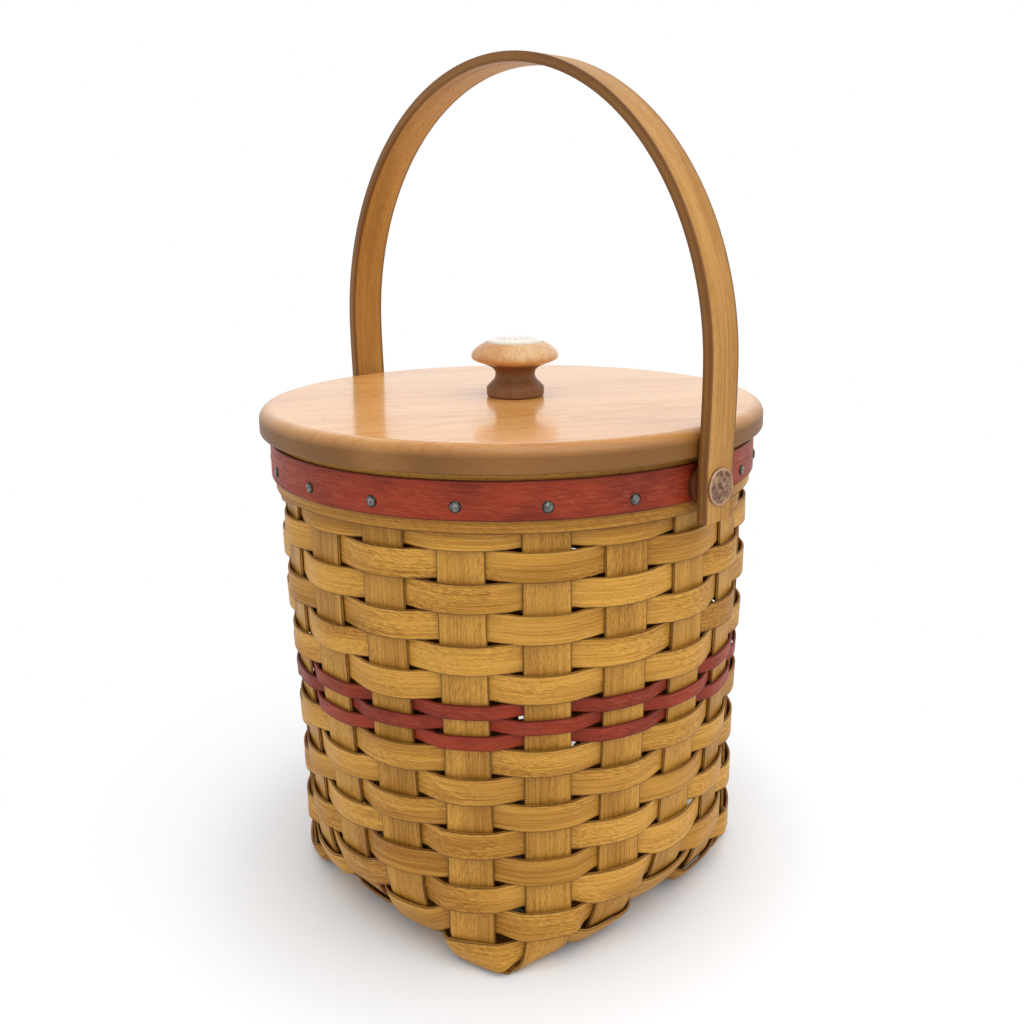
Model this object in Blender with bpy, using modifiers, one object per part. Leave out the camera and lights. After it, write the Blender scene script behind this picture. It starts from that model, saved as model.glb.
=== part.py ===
"""Round splint basket with a square woven base, a wooden lid and a riveted swing handle.

Metres, +Z up. The origin is the middle of the base, on the surface that the basket stands on. The
handle swings about an axis along X. Ten flat stakes interlace as the base mat and turn up into the
wall, where weavers go round them alternately in front and behind.
"""

import math

import bmesh
import bpy
from mathutils import Matrix, Vector

# Stakes, the strips that make the base mat and the twenty uprights
STAKES_EACH_WAY = 5
STAKE_WIDTH = 0.019
STAKE_THICKNESS = 0.0012
MAT_ARCH = 0.0055
CORNER_RUN = 0.0046

# Wall of the uprights: radius of their middle surface, and how much wider it is at the rim
WALL_RADIUS = 0.1
RIM_FLARE = 0.0038
WAIST_HEIGHT = 0.06
FLARE_SETBACK = 0.0195
SIDE_INSET = 0.005
SIDE_INSET_HEIGHT = 0.11
SIDE_LIFT = 0.0045
SIDE_LIFT_HEIGHT = 0.08

# Weavers
WEAVER_THICKNESS = 0.001
ROW_GAP = 0.0003
WEAVE_GAP = 0.0003
WEAVER_TURN = 0.001
FOOT_ROW_GAP = 0.0012
FOOT_SLACK_HEIGHT = 0.052
WIDE_PITCH = 0.012
WIDE_ROWS_BELOW = 8
ACCENT_PITCH = 0.0065
ACCENT_ROWS = 3
UPPER_PITCH = 0.0125
WIDE_ROWS_ABOVE = 6
FILLER_WIDTH = 0.0053

# Hoops and bands of the rim: the rise is from the last wide row, the drops are from the rim's top
RIM_RISE = 0.018
STAKE_DROP = 0.0024
HOOP_THICKNESS = 0.0028
HOOP_WIDTH = 0.0204
OUTER_BAND_THICKNESS = 0.0014
OUTER_BAND_WIDTH = 0.0234
ACCENT_BAND_THICKNESS = 0.0014
ACCENT_BAND_WIDTH = 0.0155
ACCENT_BAND_DROP = 0.0024
SEAT_GAP = 0.0003

# Rim nails
NAIL_DROP = 0.0126
NAIL_RADIUS = 0.0009
NAIL_HEAD_RADIUS = 0.0024
NAIL_HEAD_DOME = 0.0009
NAIL_TIP_DEPTH = 0.0022
HOLE_CLEARANCE = 0.0003

# Lid
LID_OVERHANG = 0.004
LID_THICKNESS = 0.0115
LID_TOP_ROUNDING = 0.005
LID_BOTTOM_ROUNDING = 0.0018
PLUG_CLEARANCE = 0.0007
PLUG_DEPTH = 0.005

# Knob: heights above the lid's top
KNOB_BASE_RADIUS = 0.0132
KNOB_BASE_HEIGHT = 0.0046
KNOB_NECK_RADIUS = 0.0091
KNOB_NECK_HEIGHT = 0.0098
KNOB_HEAD_RADIUS = 0.02
KNOB_HEAD_HEIGHT = 0.0188
KNOB_TOP_RADIUS = 0.0134
KNOB_TOP_HEIGHT = 0.0248
INLAY_LAND = 0.0004
INLAY_EDGE = 0.0009
INLAY_DOME = 0.0018
INLAY_RECESS = 0.0012
SCREW_RADIUS = 0.002
SCREW_HEAD_RADIUS = 0.0042
SCREW_HEAD_DEPTH = 0.0022
SCREW_REACH = 0.0135
SCREW_POINT = 0.003

# Swing handle and its pivots: the rises are from the pivots
PIVOT_DROP = 0.0113
HANDLE_WIDTH = 0.0175
HANDLE_THICKNESS = 0.0045
HANDLE_EDGE = 0.0006
HANDLE_TAIL = 0.0142
HANDLE_STRAIGHT = 0.009
HANDLE_LID_GAP = 0.0005
HANDLE_SPREAD = 0.0015
HANDLE_SPRING_RISE = 0.0484
HANDLE_TOP_RISE = 0.1744
RIVET_RADIUS = 0.0024
RIVET_HEAD_RADIUS = 0.0076
RIVET_HEAD_THICKNESS = 0.0016
RIVET_TAIL_RADIUS = 0.0037
RIVET_TAIL_THICKNESS = 0.0014
SPACER_RADIUS = 0.0085
WASHER_RADIUS = 0.0052
WASHER_THICKNESS = 0.001

# Joints of meshes and steps along a curve, far below any real gap, and how far cuts run past
MERGE_DISTANCE = 0.00001
SLOPE_STEP = 0.00001
CUT_OVERRUN = 0.001
EASED_EDGE_DEGREES = 60

# Counts of facets and segments
HOOP_FACETS = 40
LID_FACETS = 48
KNOB_FACETS = 24
PIN_FACETS = 10
HEAD_FACETS = 16
NAIL_FACETS = 6
BEND_SEGMENTS = 6
WALL_SEGMENTS = 8
ROUNDING_SEGMENTS = 3
LEG_SEGMENTS = 4
ARCH_SEGMENTS = 26
BENT_ROW_SEGMENTS = 3
SETTLING_STEPS = 4

# Shares: of the mat's arch lost at each step from its middle, of a bend's run that is its rise,
# of the stake's width for the lowest row's height and its slack at the corner bends, and of the
# quarter turn at each point of the knob's hollows
ARCH_FALL_SHARES = (0.0, 0.6, 1.0)
BEND_RISE_SHARE = 2.0
FOOT_ROW_SHARE = 0.23158
FOOT_SLACK_SHARE = 0.03684
KNOB_HOLLOW_SHARES = (0.25, 0.5, 0.75, 1.0)

# Finishes: linear colour, roughness, metallic
FINISHES = {
    "stake_splint": ((0.50, 0.27, 0.085), 0.6, 0.0),
    "weaver_splint": ((0.47, 0.235, 0.058), 0.6, 0.0),
    "red_splint": ((0.40, 0.055, 0.036), 0.6, 0.0),
    "rim_wood": ((0.49, 0.25, 0.07), 0.55, 0.0),
    "lid_wood": ((0.73, 0.39, 0.17), 0.35, 0.0),
    "knob_wood": ((0.42, 0.18, 0.07), 0.4, 0.0),
    "ceramic": ((0.85, 0.83, 0.78), 0.15, 0.0),
    "handle_wood": ((0.46, 0.23, 0.065), 0.5, 0.0),
    "copper": ((0.24, 0.12, 0.085), 0.45, 1.0),
    "steel": ((0.14, 0.14, 0.14), 0.4, 1.0),
}

UPRIGHTS = 4 * STAKES_EACH_WAY
UPRIGHT_STEP = 2 * math.pi / UPRIGHTS
REACH = STAKES_EACH_WAY // 2
HALF_SPAN = STAKE_WIDTH / 2 + WEAVER_TURN
CORNER_RADIUS = WALL_RADIUS - CORNER_RUN
STAKE_PITCH = (math.sqrt(2 * CORNER_RADIUS**2 - HALF_SPAN**2) - HALF_SPAN) / (2 * REACH)
MAT_EDGE = REACH * STAKE_PITCH + HALF_SPAN
LEVEL_STEP = (STAKE_THICKNESS + WEAVE_GAP) / 2
FOOT_ROW_HEIGHT = FOOT_ROW_SHARE * STAKE_WIDTH
FOOT_SLACK = FOOT_SLACK_SHARE * STAKE_WIDTH
WEAVE_OFFSET = STAKE_THICKNESS / 2 + WEAVE_GAP + WEAVER_THICKNESS / 2
HALF_FACET = math.pi / HOOP_FACETS

ACCENT_ROWS_BOTTOM = FOOT_ROW_HEIGHT + WIDE_ROWS_BELOW * WIDE_PITCH
UPPER_ROWS_BOTTOM = ACCENT_ROWS_BOTTOM + ACCENT_ROWS * ACCENT_PITCH
RIM_TOP = UPPER_ROWS_BOTTOM + WIDE_ROWS_ABOVE * UPPER_PITCH + RIM_RISE
STAKE_TOP = RIM_TOP - STAKE_DROP
OUTER_BAND_BOTTOM = RIM_TOP - OUTER_BAND_WIDTH
ACCENT_BAND_TOP = RIM_TOP - ACCENT_BAND_DROP
NAIL_HEIGHT = RIM_TOP - NAIL_DROP
PIVOT_HEIGHT = RIM_TOP - PIVOT_DROP

RIM_RADIUS = WALL_RADIUS + RIM_FLARE
FLARE_TOP = OUTER_BAND_BOTTOM - FLARE_SETBACK
HOOP_OUTER = RIM_RADIUS - WEAVE_OFFSET - WEAVER_THICKNESS / 2 - WEAVE_GAP
HOOP_INNER = HOOP_OUTER - HOOP_THICKNESS
WEAVE_OUTSIDE = math.hypot(RIM_RADIUS + WEAVE_OFFSET + WEAVER_THICKNESS / 2, HALF_SPAN)
OUTER_BAND_INNER = (WEAVE_OUTSIDE + WEAVE_GAP) / math.cos(HALF_FACET)
OUTER_BAND_OUTER = OUTER_BAND_INNER + OUTER_BAND_THICKNESS
ACCENT_BAND_INNER = OUTER_BAND_OUTER + SEAT_GAP
ACCENT_BAND_OUTER = ACCENT_BAND_INNER + ACCENT_BAND_THICKNESS
HOOP_FACE = HOOP_INNER * math.cos(HALF_FACET)
BAND_FACE = ACCENT_BAND_OUTER * math.cos(HALF_FACET)
WASHER_FACE = HOOP_FACE - SEAT_GAP - WASHER_THICKNESS

LID_RADIUS = ACCENT_BAND_OUTER + LID_OVERHANG
LID_BOTTOM = RIM_TOP + SEAT_GAP
LID_TOP = LID_BOTTOM + LID_THICKNESS
KNOB_SEAT = LID_TOP + SEAT_GAP
INLAY_RADIUS = KNOB_TOP_RADIUS - INLAY_LAND - HOLE_CLEARANCE

HANDLE_FOOT_OUTER = LID_RADIUS + HANDLE_LID_GAP + HANDLE_THICKNESS
HANDLE_FOOT_INNER = HANDLE_FOOT_OUTER - HANDLE_THICKNESS
HANDLE_SPRING_HEIGHT = PIVOT_HEIGHT + HANDLE_SPRING_RISE
HANDLE_TOP = PIVOT_HEIGHT + HANDLE_TOP_RISE


def finish(name):
    """Material with the named finish."""
    colour, roughness, metallic = FINISHES[name]
    material = bpy.data.materials.new(name)
    material.use_nodes = True
    shader = material.node_tree.nodes["Principled BSDF"]
    shader.inputs["Base Color"].default_value = (*colour, 1.0)
    shader.inputs["Roughness"].default_value = roughness
    shader.inputs["Metallic"].default_value = metallic
    material.diffuse_color = (*colour, 1.0)
    return material


def add_object(name, mesh, finish_name, collection):
    """Object of the mesh, with a material of its own."""
    made = bpy.data.objects.new(name, mesh)
    collection.objects.link(made)
    material = finish(finish_name)
    material.name = f"{name}_{finish_name}"
    made.data.materials.clear()
    made.data.materials.append(material)
    return made


def smooth_step(share):
    """Smooth rise from 0 to 1 as share goes from 0 to 1."""
    share = min(max(share, 0.0), 1.0)
    return share * share * (3 - 2 * share)


def solidify(made, thickness):
    """Gives a thin surface its thickness, half to each side."""
    modifier = made.modifiers.new("thickness", "SOLIDIFY")
    modifier.thickness = thickness
    modifier.offset = 0.0
    modifier.use_even_offset = True


def ribbon_mesh(name, stations, closed=False):
    """Open surface through stations, each a list of points across the strip."""
    along = len(stations) - 1
    across = len(stations[0]) - 1
    shape = bmesh.new()
    bmesh.ops.create_grid(shape, x_segments=along, y_segments=across, size=1.0)
    for vertex in shape.verts:
        station = round((vertex.co.x + 1) / 2 * along)
        place = round((vertex.co.y + 1) / 2 * across)
        vertex.co = stations[station][place]
    if closed:
        bmesh.ops.remove_doubles(shape, verts=shape.verts, dist=MERGE_DISTANCE)
    mesh = bpy.data.meshes.new(name)
    shape.to_mesh(mesh)
    shape.free()
    return mesh


def turned(name, profile, facets, finish_name, collection, closed=False, phase=0.0):
    """Solid turned about Z from a profile that runs down its outer side."""
    mesh = bpy.data.meshes.new(name)
    shape = bmesh.new()
    turn = Matrix.Rotation(phase, 4, "Z")
    points = [shape.verts.new(turn @ Vector((radius, 0.0, height))) for radius, height in profile]
    ends = list(zip(points, points[1:]))
    if closed:
        ends.append((points[-1], points[0]))
    for first, second in ends:
        shape.edges.new((first, second))
    shape.to_mesh(mesh)
    shape.free()
    made = add_object(name, mesh, finish_name, collection)
    modifier = made.modifiers.new("turning", "SCREW")
    modifier.steps = facets
    modifier.render_steps = facets
    modifier.use_merge_vertices = True
    modifier.merge_threshold = MERGE_DISTANCE
    modifier.use_smooth_shade = True
    return made


def point_outwards(made, angle, radius, height):
    """Lays a piece turned about its own Z on a radius of the basket, its Z pointing outwards."""
    made.rotation_euler = (0.0, math.pi / 2, angle)
    made.location = (radius * math.cos(angle), radius * math.sin(angle), height)


def cut(made, cutter):
    """Cuts the cutter out of a piece."""
    modifier = made.modifiers.new("pin_holes", "BOOLEAN")
    modifier.operation = "DIFFERENCE"
    modifier.solver = "EXACT"
    modifier.object = cutter


class Upright:
    """One end of a stake: its bend out of the mat and its run up the wall.

    Uprights are numbered round the basket from the middle of the +X side.
    """

    def __init__(self, number):
        self.number = number % UPRIGHTS
        side = ((self.number + REACH) // STAKES_EACH_WAY) % 4
        self.place = self.number - side * STAKES_EACH_WAY
        if self.place > REACH:
            self.place -= UPRIGHTS
        self.angle = self.number * UPRIGHT_STEP
        facing = side * math.pi / 2
        self.outward = Vector((math.cos(facing), math.sin(facing), 0.0))
        self.sideways = Vector((-math.sin(facing), math.cos(facing), 0.0))
        self.radial = Vector((math.cos(self.angle), math.sin(self.angle), 0.0))
        self.tangent = Vector((-math.sin(self.angle), math.cos(self.angle), 0.0))
        self.flatness = math.cos(2 * self.angle) ** 2
        along_x = side % 2 == 0
        level = mat_level(REACH, self.place, along_x)
        self.start = self.outward * MAT_EDGE + self.sideways * self.place * STAKE_PITCH
        self.start.z = level
        self.run = (self.radial * WALL_RADIUS - self.start).xy.length
        self.run -= SIDE_INSET * self.flatness
        self.rise = self.run * BEND_RISE_SHARE
        self.bend_top = self.start.z + self.rise
        self.bend_length = math.pi / 2 * math.sqrt((self.run**2 + self.rise**2) / 2)
        self.bend_height = self.bend_top
        for _ in range(SETTLING_STEPS):
            self.bend_height = self.bend_top - self.lift(self.bend_height)

    def lift(self, height):
        """How far the rows are pushed up here by the arch of the base."""
        left = max(0.0, 1 - height / SIDE_LIFT_HEIGHT)
        return SIDE_LIFT * self.flatness * left * left

    def wall(self, level):
        """Point of the upright's middle surface on the wall."""
        flare = RIM_FLARE * smooth_step((level - WAIST_HEIGHT) / (FLARE_TOP - WAIST_HEIGHT))
        inset = SIDE_INSET * self.flatness * (1 - smooth_step(level / SIDE_INSET_HEIGHT))
        point = self.radial * (WALL_RADIUS + flare - inset)
        point.z = level
        return point

    def centre(self, height):
        """Middle of the upright at a height measured along the wall."""
        if height >= self.bend_height:
            return self.wall(height + self.lift(height))
        return self.bend_point(self.bend_share(height))

    def bend_share(self, height):
        """How much of the bend lies below this height."""
        return max(0.0, 1 - (self.bend_height - height) / self.bend_length)

    def bend_point(self, share):
        """Point on the quarter ellipse that joins the mat to the wall."""
        top = self.wall(self.bend_top)
        angle = share * math.pi / 2
        point = self.start.lerp(top, math.sin(angle))
        point.z = self.start.z + self.rise * (1 - math.cos(angle))
        return point

    def across(self, height):
        """Direction of the upright's width."""
        share = 1.0
        if height < self.bend_height:
            share = self.bend_share(height)
        return self.sideways.lerp(self.tangent, share).normalized()

    def facing(self, height):
        """Direction square to the upright's face, outwards."""
        upward = self.centre(height + SLOPE_STEP) - self.centre(height - SLOPE_STEP)
        return self.across(height).cross(upward).normalized()

    def stations(self):
        """Edge points of the strip, from the mat's edge to the top."""
        heights = [
            self.bend_height - self.bend_length * (1 - step / BEND_SEGMENTS)
            for step in range(1, BEND_SEGMENTS)
        ]
        heights += [
            self.bend_height + (STAKE_TOP - self.bend_height) * step / WALL_SEGMENTS
            for step in range(WALL_SEGMENTS + 1)
        ]
        half = STAKE_WIDTH / 2
        found = []
        for height in heights:
            middle = self.centre(height)
            across = self.across(height) * half
            found.append([middle - across, middle + across])
        return found


def mat_level(column, row, along_x):
    """Height of a stake's middle surface at one crossing of the mat."""
    fall = ARCH_FALL_SHARES[abs(column)] * ARCH_FALL_SHARES[abs(row)]
    middle = STAKE_THICKNESS / 2 + LEVEL_STEP + MAT_ARCH * (1 - fall)
    y_stake_below = (column + row) % 2 == 0
    return middle + LEVEL_STEP * (1 if along_x == y_stake_below else -1)


def stake(name, place, along_x, cutter, collection):
    """One strip: down one wall, across the mat and up the opposite wall."""
    if along_x:
        run, side, across = Vector((1.0, 0.0, 0.0)), Vector((0.0, 1.0, 0.0)), place
        near, far = Upright(2 * STAKES_EACH_WAY - place), Upright(place)
    else:
        run, side, across = Vector((0.0, 1.0, 0.0)), Vector((-1.0, 0.0, 0.0)), -place
        near, far = Upright(3 * STAKES_EACH_WAY + place), Upright(STAKES_EACH_WAY - place)
    stations = [[right, left] for left, right in reversed(near.stations())]
    for crossing in range(-REACH, REACH + 1):
        level = Vector((0.0, 0.0, mat_level(crossing, place, along_x)))
        for end in (-HALF_SPAN, HALF_SPAN):
            middle = run * (crossing * STAKE_PITCH + end) + side * across * STAKE_PITCH + level
            half = side * STAKE_WIDTH / 2
            stations.append([middle - half, middle + half])
    stations += far.stations()
    made = add_object(name, ribbon_mesh(name, stations), "stake_splint", collection)
    solidify(made, STAKE_THICKNESS)
    cut(made, cutter)
    return made


def weave_offset(height):
    """How far a weaver's middle lies from an upright's, with more room near the foot's bends."""
    return WEAVE_OFFSET + FOOT_SLACK * (1 - smooth_step(height / FOOT_SLACK_HEIGHT))


def weaver(name, bottom, top, first_outside, finish_name, collection):
    """One row: a closed strip in front of every other upright and behind the rest."""
    uprights = [Upright(number) for number in range(UPRIGHTS)]
    highest_bend = max(upright.bend_height for upright in uprights)
    across = BENT_ROW_SEGMENTS if bottom < highest_bend else 1
    heights = [bottom + (top - bottom) * step / across for step in range(across + 1)]
    stations = []
    for upright in uprights:
        outside = (upright.number % 2 == 0) == first_outside
        side = 1 if outside else -1
        for edge in (-HALF_SPAN, HALF_SPAN):
            stations.append(
                [
                    upright.centre(height)
                    + upright.across(height) * edge
                    + upright.facing(height) * side * weave_offset(height)
                    for height in heights
                ]
            )
    stations.append(stations[0])
    made = add_object(name, ribbon_mesh(name, stations, closed=True), finish_name, collection)
    solidify(made, WEAVER_THICKNESS)
    return made


def hoop(name, inner, outer, bottom, top, finish_name, cutter, collection):
    """Flat-sided hoop of the rim, with a facet square to every pin."""
    profile = [(inner, top), (outer, top), (outer, bottom), (inner, bottom)]
    made = turned(
        name, profile, HOOP_FACETS, finish_name, collection, closed=True, phase=HALF_FACET
    )
    cut(made, cutter)
    return made


def pin_cutter(collection):
    """All the holes of the rim, radial, as one cutter."""
    shape = bmesh.new()
    inner = HOOP_INNER - CUT_OVERRUN
    outer = HANDLE_FOOT_OUTER + CUT_OVERRUN
    for number in range(UPRIGHTS):
        at_rivet = number % (2 * STAKES_EACH_WAY) == 0
        radius = (RIVET_RADIUS if at_rivet else NAIL_RADIUS) + HOLE_CLEARANCE
        height = PIVOT_HEIGHT if at_rivet else NAIL_HEIGHT
        angle = number * UPRIGHT_STEP
        middle = (inner + outer) / 2
        place = (
            Matrix.Rotation(angle, 4, "Z")
            @ Matrix.Translation((middle, 0.0, height))
            @ Matrix.Rotation(math.pi / 2, 4, "Y")
        )
        bmesh.ops.create_cone(
            shape,
            cap_ends=True,
            segments=PIN_FACETS if at_rivet else NAIL_FACETS,
            radius1=radius,
            radius2=radius,
            depth=outer - inner,
            matrix=place,
        )
    mesh = bpy.data.meshes.new("pin_holes")
    shape.to_mesh(mesh)
    shape.free()
    cutter = bpy.data.objects.new("pin_holes", mesh)
    cutter.hide_render = True
    cutter.display_type = "WIRE"
    collection.objects.link(cutter)
    return cutter


def rim_nail(name, number, collection):
    """Domed nail through the bands, an upright and the hoop."""
    head = BAND_FACE + SEAT_GAP
    tip = HOOP_INNER + NAIL_TIP_DEPTH - head
    profile = [
        (0.0, NAIL_HEAD_DOME),
        (NAIL_HEAD_RADIUS * math.sqrt(0.5), NAIL_HEAD_DOME * math.sqrt(0.5)),
        (NAIL_HEAD_RADIUS, 0.0),
        (NAIL_RADIUS, 0.0),
        (NAIL_RADIUS, tip + NAIL_RADIUS),
        (0.0, tip),
    ]
    made = turned(name, profile, NAIL_FACETS, "steel", collection)
    point_outwards(made, number * UPRIGHT_STEP, head, NAIL_HEIGHT)
    return made


def lid_board(name, collection):
    """Round board with a rounded edge, a plug below and a hole for the screw."""
    hole = SCREW_RADIUS + HOLE_CLEARANCE
    plug = HOOP_FACE - PLUG_CLEARANCE
    plug_bottom = LID_BOTTOM - PLUG_DEPTH
    recess = SCREW_HEAD_RADIUS + HOLE_CLEARANCE
    recess_top = plug_bottom + SCREW_HEAD_DEPTH + HOLE_CLEARANCE
    profile = [(hole, LID_TOP)]
    for step in range(ROUNDING_SEGMENTS + 1):
        angle = math.pi / 2 * (1 - step / ROUNDING_SEGMENTS)
        profile.append(
            (
                LID_RADIUS - LID_TOP_ROUNDING * (1 - math.cos(angle)),
                LID_TOP - LID_TOP_ROUNDING * (1 - math.sin(angle)),
            )
        )
    profile += [
        (LID_RADIUS, LID_BOTTOM + LID_BOTTOM_ROUNDING),
        (LID_RADIUS - LID_BOTTOM_ROUNDING, LID_BOTTOM),
        (plug, LID_BOTTOM),
        (plug, plug_bottom),
        (recess, plug_bottom),
        (recess, recess_top),
        (hole, recess_top),
    ]
    return turned(name, profile, LID_FACETS, "lid_wood", collection, closed=True)


def lid_knob(name, collection):
    """Turned knob: base disc, hollow neck, wide head and a recess for the inlay."""
    recess = INLAY_RADIUS + HOLE_CLEARANCE
    recess_floor = KNOB_SEAT + KNOB_TOP_HEIGHT - INLAY_RECESS
    bore = SCREW_RADIUS + HOLE_CLEARANCE
    bore_top = KNOB_SEAT + SCREW_REACH + HOLE_CLEARANCE
    profile = [(0.0, recess_floor), (recess, recess_floor)]
    profile.append((recess, KNOB_SEAT + KNOB_TOP_HEIGHT))
    for step in range(ROUNDING_SEGMENTS + 1):
        share = step / ROUNDING_SEGMENTS
        bulge = math.sin(share * math.pi / 2)
        drop = 1 - math.cos(share * math.pi / 2)
        profile.append(
            (
                KNOB_TOP_RADIUS + (KNOB_HEAD_RADIUS - KNOB_TOP_RADIUS) * bulge,
                KNOB_SEAT + KNOB_TOP_HEIGHT - (KNOB_TOP_HEIGHT - KNOB_HEAD_HEIGHT) * drop,
            )
        )
    for share in KNOB_HOLLOW_SHARES:
        turn = share * math.pi / 2
        profile.append(
            (
                KNOB_HEAD_RADIUS - (KNOB_HEAD_RADIUS - KNOB_NECK_RADIUS) * math.sin(turn) ** 2,
                KNOB_SEAT
                + KNOB_HEAD_HEIGHT
                - (KNOB_HEAD_HEIGHT - KNOB_NECK_HEIGHT) * math.sin(turn) ** 2 * math.sin(turn)
                - (KNOB_HEAD_HEIGHT - KNOB_NECK_HEIGHT) * (1 - math.sin(turn)) * share,
            )
        )
    for share in KNOB_HOLLOW_SHARES:
        turn = share * math.pi / 2
        profile.append(
            (
                KNOB_NECK_RADIUS + (KNOB_BASE_RADIUS - KNOB_NECK_RADIUS) * (1 - math.cos(turn)),
                KNOB_SEAT
                + KNOB_NECK_HEIGHT
                - (KNOB_NECK_HEIGHT - KNOB_BASE_HEIGHT) * math.sin(turn),
            )
        )
    profile += [
        (KNOB_BASE_RADIUS, KNOB_SEAT),
        (bore, KNOB_SEAT),
        (bore, bore_top),
        (0.0, bore_top),
    ]
    return turned(name, profile, KNOB_FACETS, "knob_wood", collection)


def knob_inlay(name, collection):
    """Slightly domed ceramic disc set into the knob's top."""
    floor = KNOB_SEAT + KNOB_TOP_HEIGHT - INLAY_RECESS + SEAT_GAP
    edge = floor + INLAY_RECESS - SEAT_GAP + INLAY_EDGE
    profile = []
    for step in range(ROUNDING_SEGMENTS + 1):
        share = step / ROUNDING_SEGMENTS
        profile.append((INLAY_RADIUS * share, edge + INLAY_DOME * (1 - share * share)))
    profile += [(INLAY_RADIUS, floor), (0.0, floor)]
    return turned(name, profile, KNOB_FACETS, "ceramic", collection)


def knob_screw(name, collection):
    """Wood screw from under the lid up into the knob."""
    head_bottom = LID_BOTTOM - PLUG_DEPTH
    head_top = head_bottom + SCREW_HEAD_DEPTH
    tip = KNOB_SEAT + SCREW_REACH
    profile = [
        (0.0, tip),
        (SCREW_RADIUS, tip - SCREW_POINT),
        (SCREW_RADIUS, head_top),
        (SCREW_HEAD_RADIUS, head_top),
        (SCREW_HEAD_RADIUS, head_bottom),
        (0.0, head_bottom),
    ]
    return turned(name, profile, PIN_FACETS, "steel", collection)


def handle_path():
    """Middle line of the handle strip in the XZ plane, from the left foot over to the right."""
    foot = HANDLE_FOOT_OUTER - HANDLE_THICKNESS / 2
    wide = foot + HANDLE_SPREAD
    straight_top = PIVOT_HEIGHT + HANDLE_STRAIGHT
    leg = [(foot, PIVOT_HEIGHT - HANDLE_TAIL)]
    for step in range(LEG_SEGMENTS):
        height = straight_top + (HANDLE_SPRING_HEIGHT - straight_top) * step / LEG_SEGMENTS
        share = (height - straight_top) / (HANDLE_SPRING_HEIGHT - straight_top)
        leg.append((foot + HANDLE_SPREAD * math.sin(share * math.pi / 2), height))
    rise = HANDLE_TOP - HANDLE_THICKNESS / 2 - HANDLE_SPRING_HEIGHT
    arch = []
    for step in range(ARCH_SEGMENTS + 1):
        angle = math.pi * step / ARCH_SEGMENTS
        arch.append((wide * math.cos(angle), HANDLE_SPRING_HEIGHT + rise * math.sin(angle)))
    mirrored = [(-x, z) for x, z in reversed(leg)]
    return leg + arch + mirrored


def swing_handle(name, cutter, collection):
    """Bent wooden strip with its edges eased, drilled for the rivets."""
    half = HANDLE_WIDTH / 2
    stations = [
        [Vector((x, -half, z - PIVOT_HEIGHT)), Vector((x, half, z - PIVOT_HEIGHT))]
        for x, z in handle_path()
    ]
    made = add_object(name, ribbon_mesh(name, stations), "handle_wood", collection)
    solidify(made, HANDLE_THICKNESS)
    easing = made.modifiers.new("eased_edges", "BEVEL")
    easing.width = HANDLE_EDGE
    easing.segments = 1
    easing.limit_method = "ANGLE"
    easing.angle_limit = math.radians(EASED_EDGE_DEGREES)
    made.location = (0.0, 0.0, PIVOT_HEIGHT)
    cut(made, cutter)
    return made


def handle_rivet(name, angle, collection):
    """Flat-headed rivet through the handle, spacer, bands, upright, hoop and washer."""
    seat = HANDLE_FOOT_OUTER + SEAT_GAP
    tail = WASHER_FACE - SEAT_GAP - seat
    profile = [
        (0.0, RIVET_HEAD_THICKNESS),
        (RIVET_HEAD_RADIUS - RIVET_HEAD_THICKNESS / 2, RIVET_HEAD_THICKNESS),
        (RIVET_HEAD_RADIUS, RIVET_HEAD_THICKNESS / 2),
        (RIVET_HEAD_RADIUS, 0.0),
        (RIVET_RADIUS, 0.0),
        (RIVET_RADIUS, tail),
        (RIVET_TAIL_RADIUS, tail),
        (RIVET_TAIL_RADIUS, tail - RIVET_TAIL_THICKNESS / 2),
        (RIVET_RADIUS, tail - RIVET_TAIL_THICKNESS),
        (0.0, tail - RIVET_TAIL_THICKNESS),
    ]
    made = turned(name, profile, HEAD_FACETS, "copper", collection)
    point_outwards(made, angle, seat, PIVOT_HEIGHT)
    return made


def pivot_ring(name, angle, inner_face, outer_face, radius, finish_name, collection):
    """Flat ring on a rivet, such as the spacer disc or the washer."""
    thickness = outer_face - inner_face
    hole = RIVET_RADIUS + HOLE_CLEARANCE
    profile = [(hole, thickness), (radius, thickness), (radius, 0.0), (hole, 0.0)]
    made = turned(name, profile, HEAD_FACETS, finish_name, collection, closed=True)
    point_outwards(made, angle, inner_face, PIVOT_HEIGHT)
    return made


def clear_scene():
    """Removes whatever the scene holds."""
    for present in list(bpy.data.objects):
        bpy.data.objects.remove(present)


def row_edges(bottom, pitch, count, first_gap=ROW_GAP):
    """Lower and upper edge of each row of a stretch, from the lowest up."""
    edges = []
    for row in range(count):
        gap = first_gap if row == 0 else ROW_GAP
        edges.append((bottom + row * pitch, bottom + (row + 1) * pitch - gap))
    return edges


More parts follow.
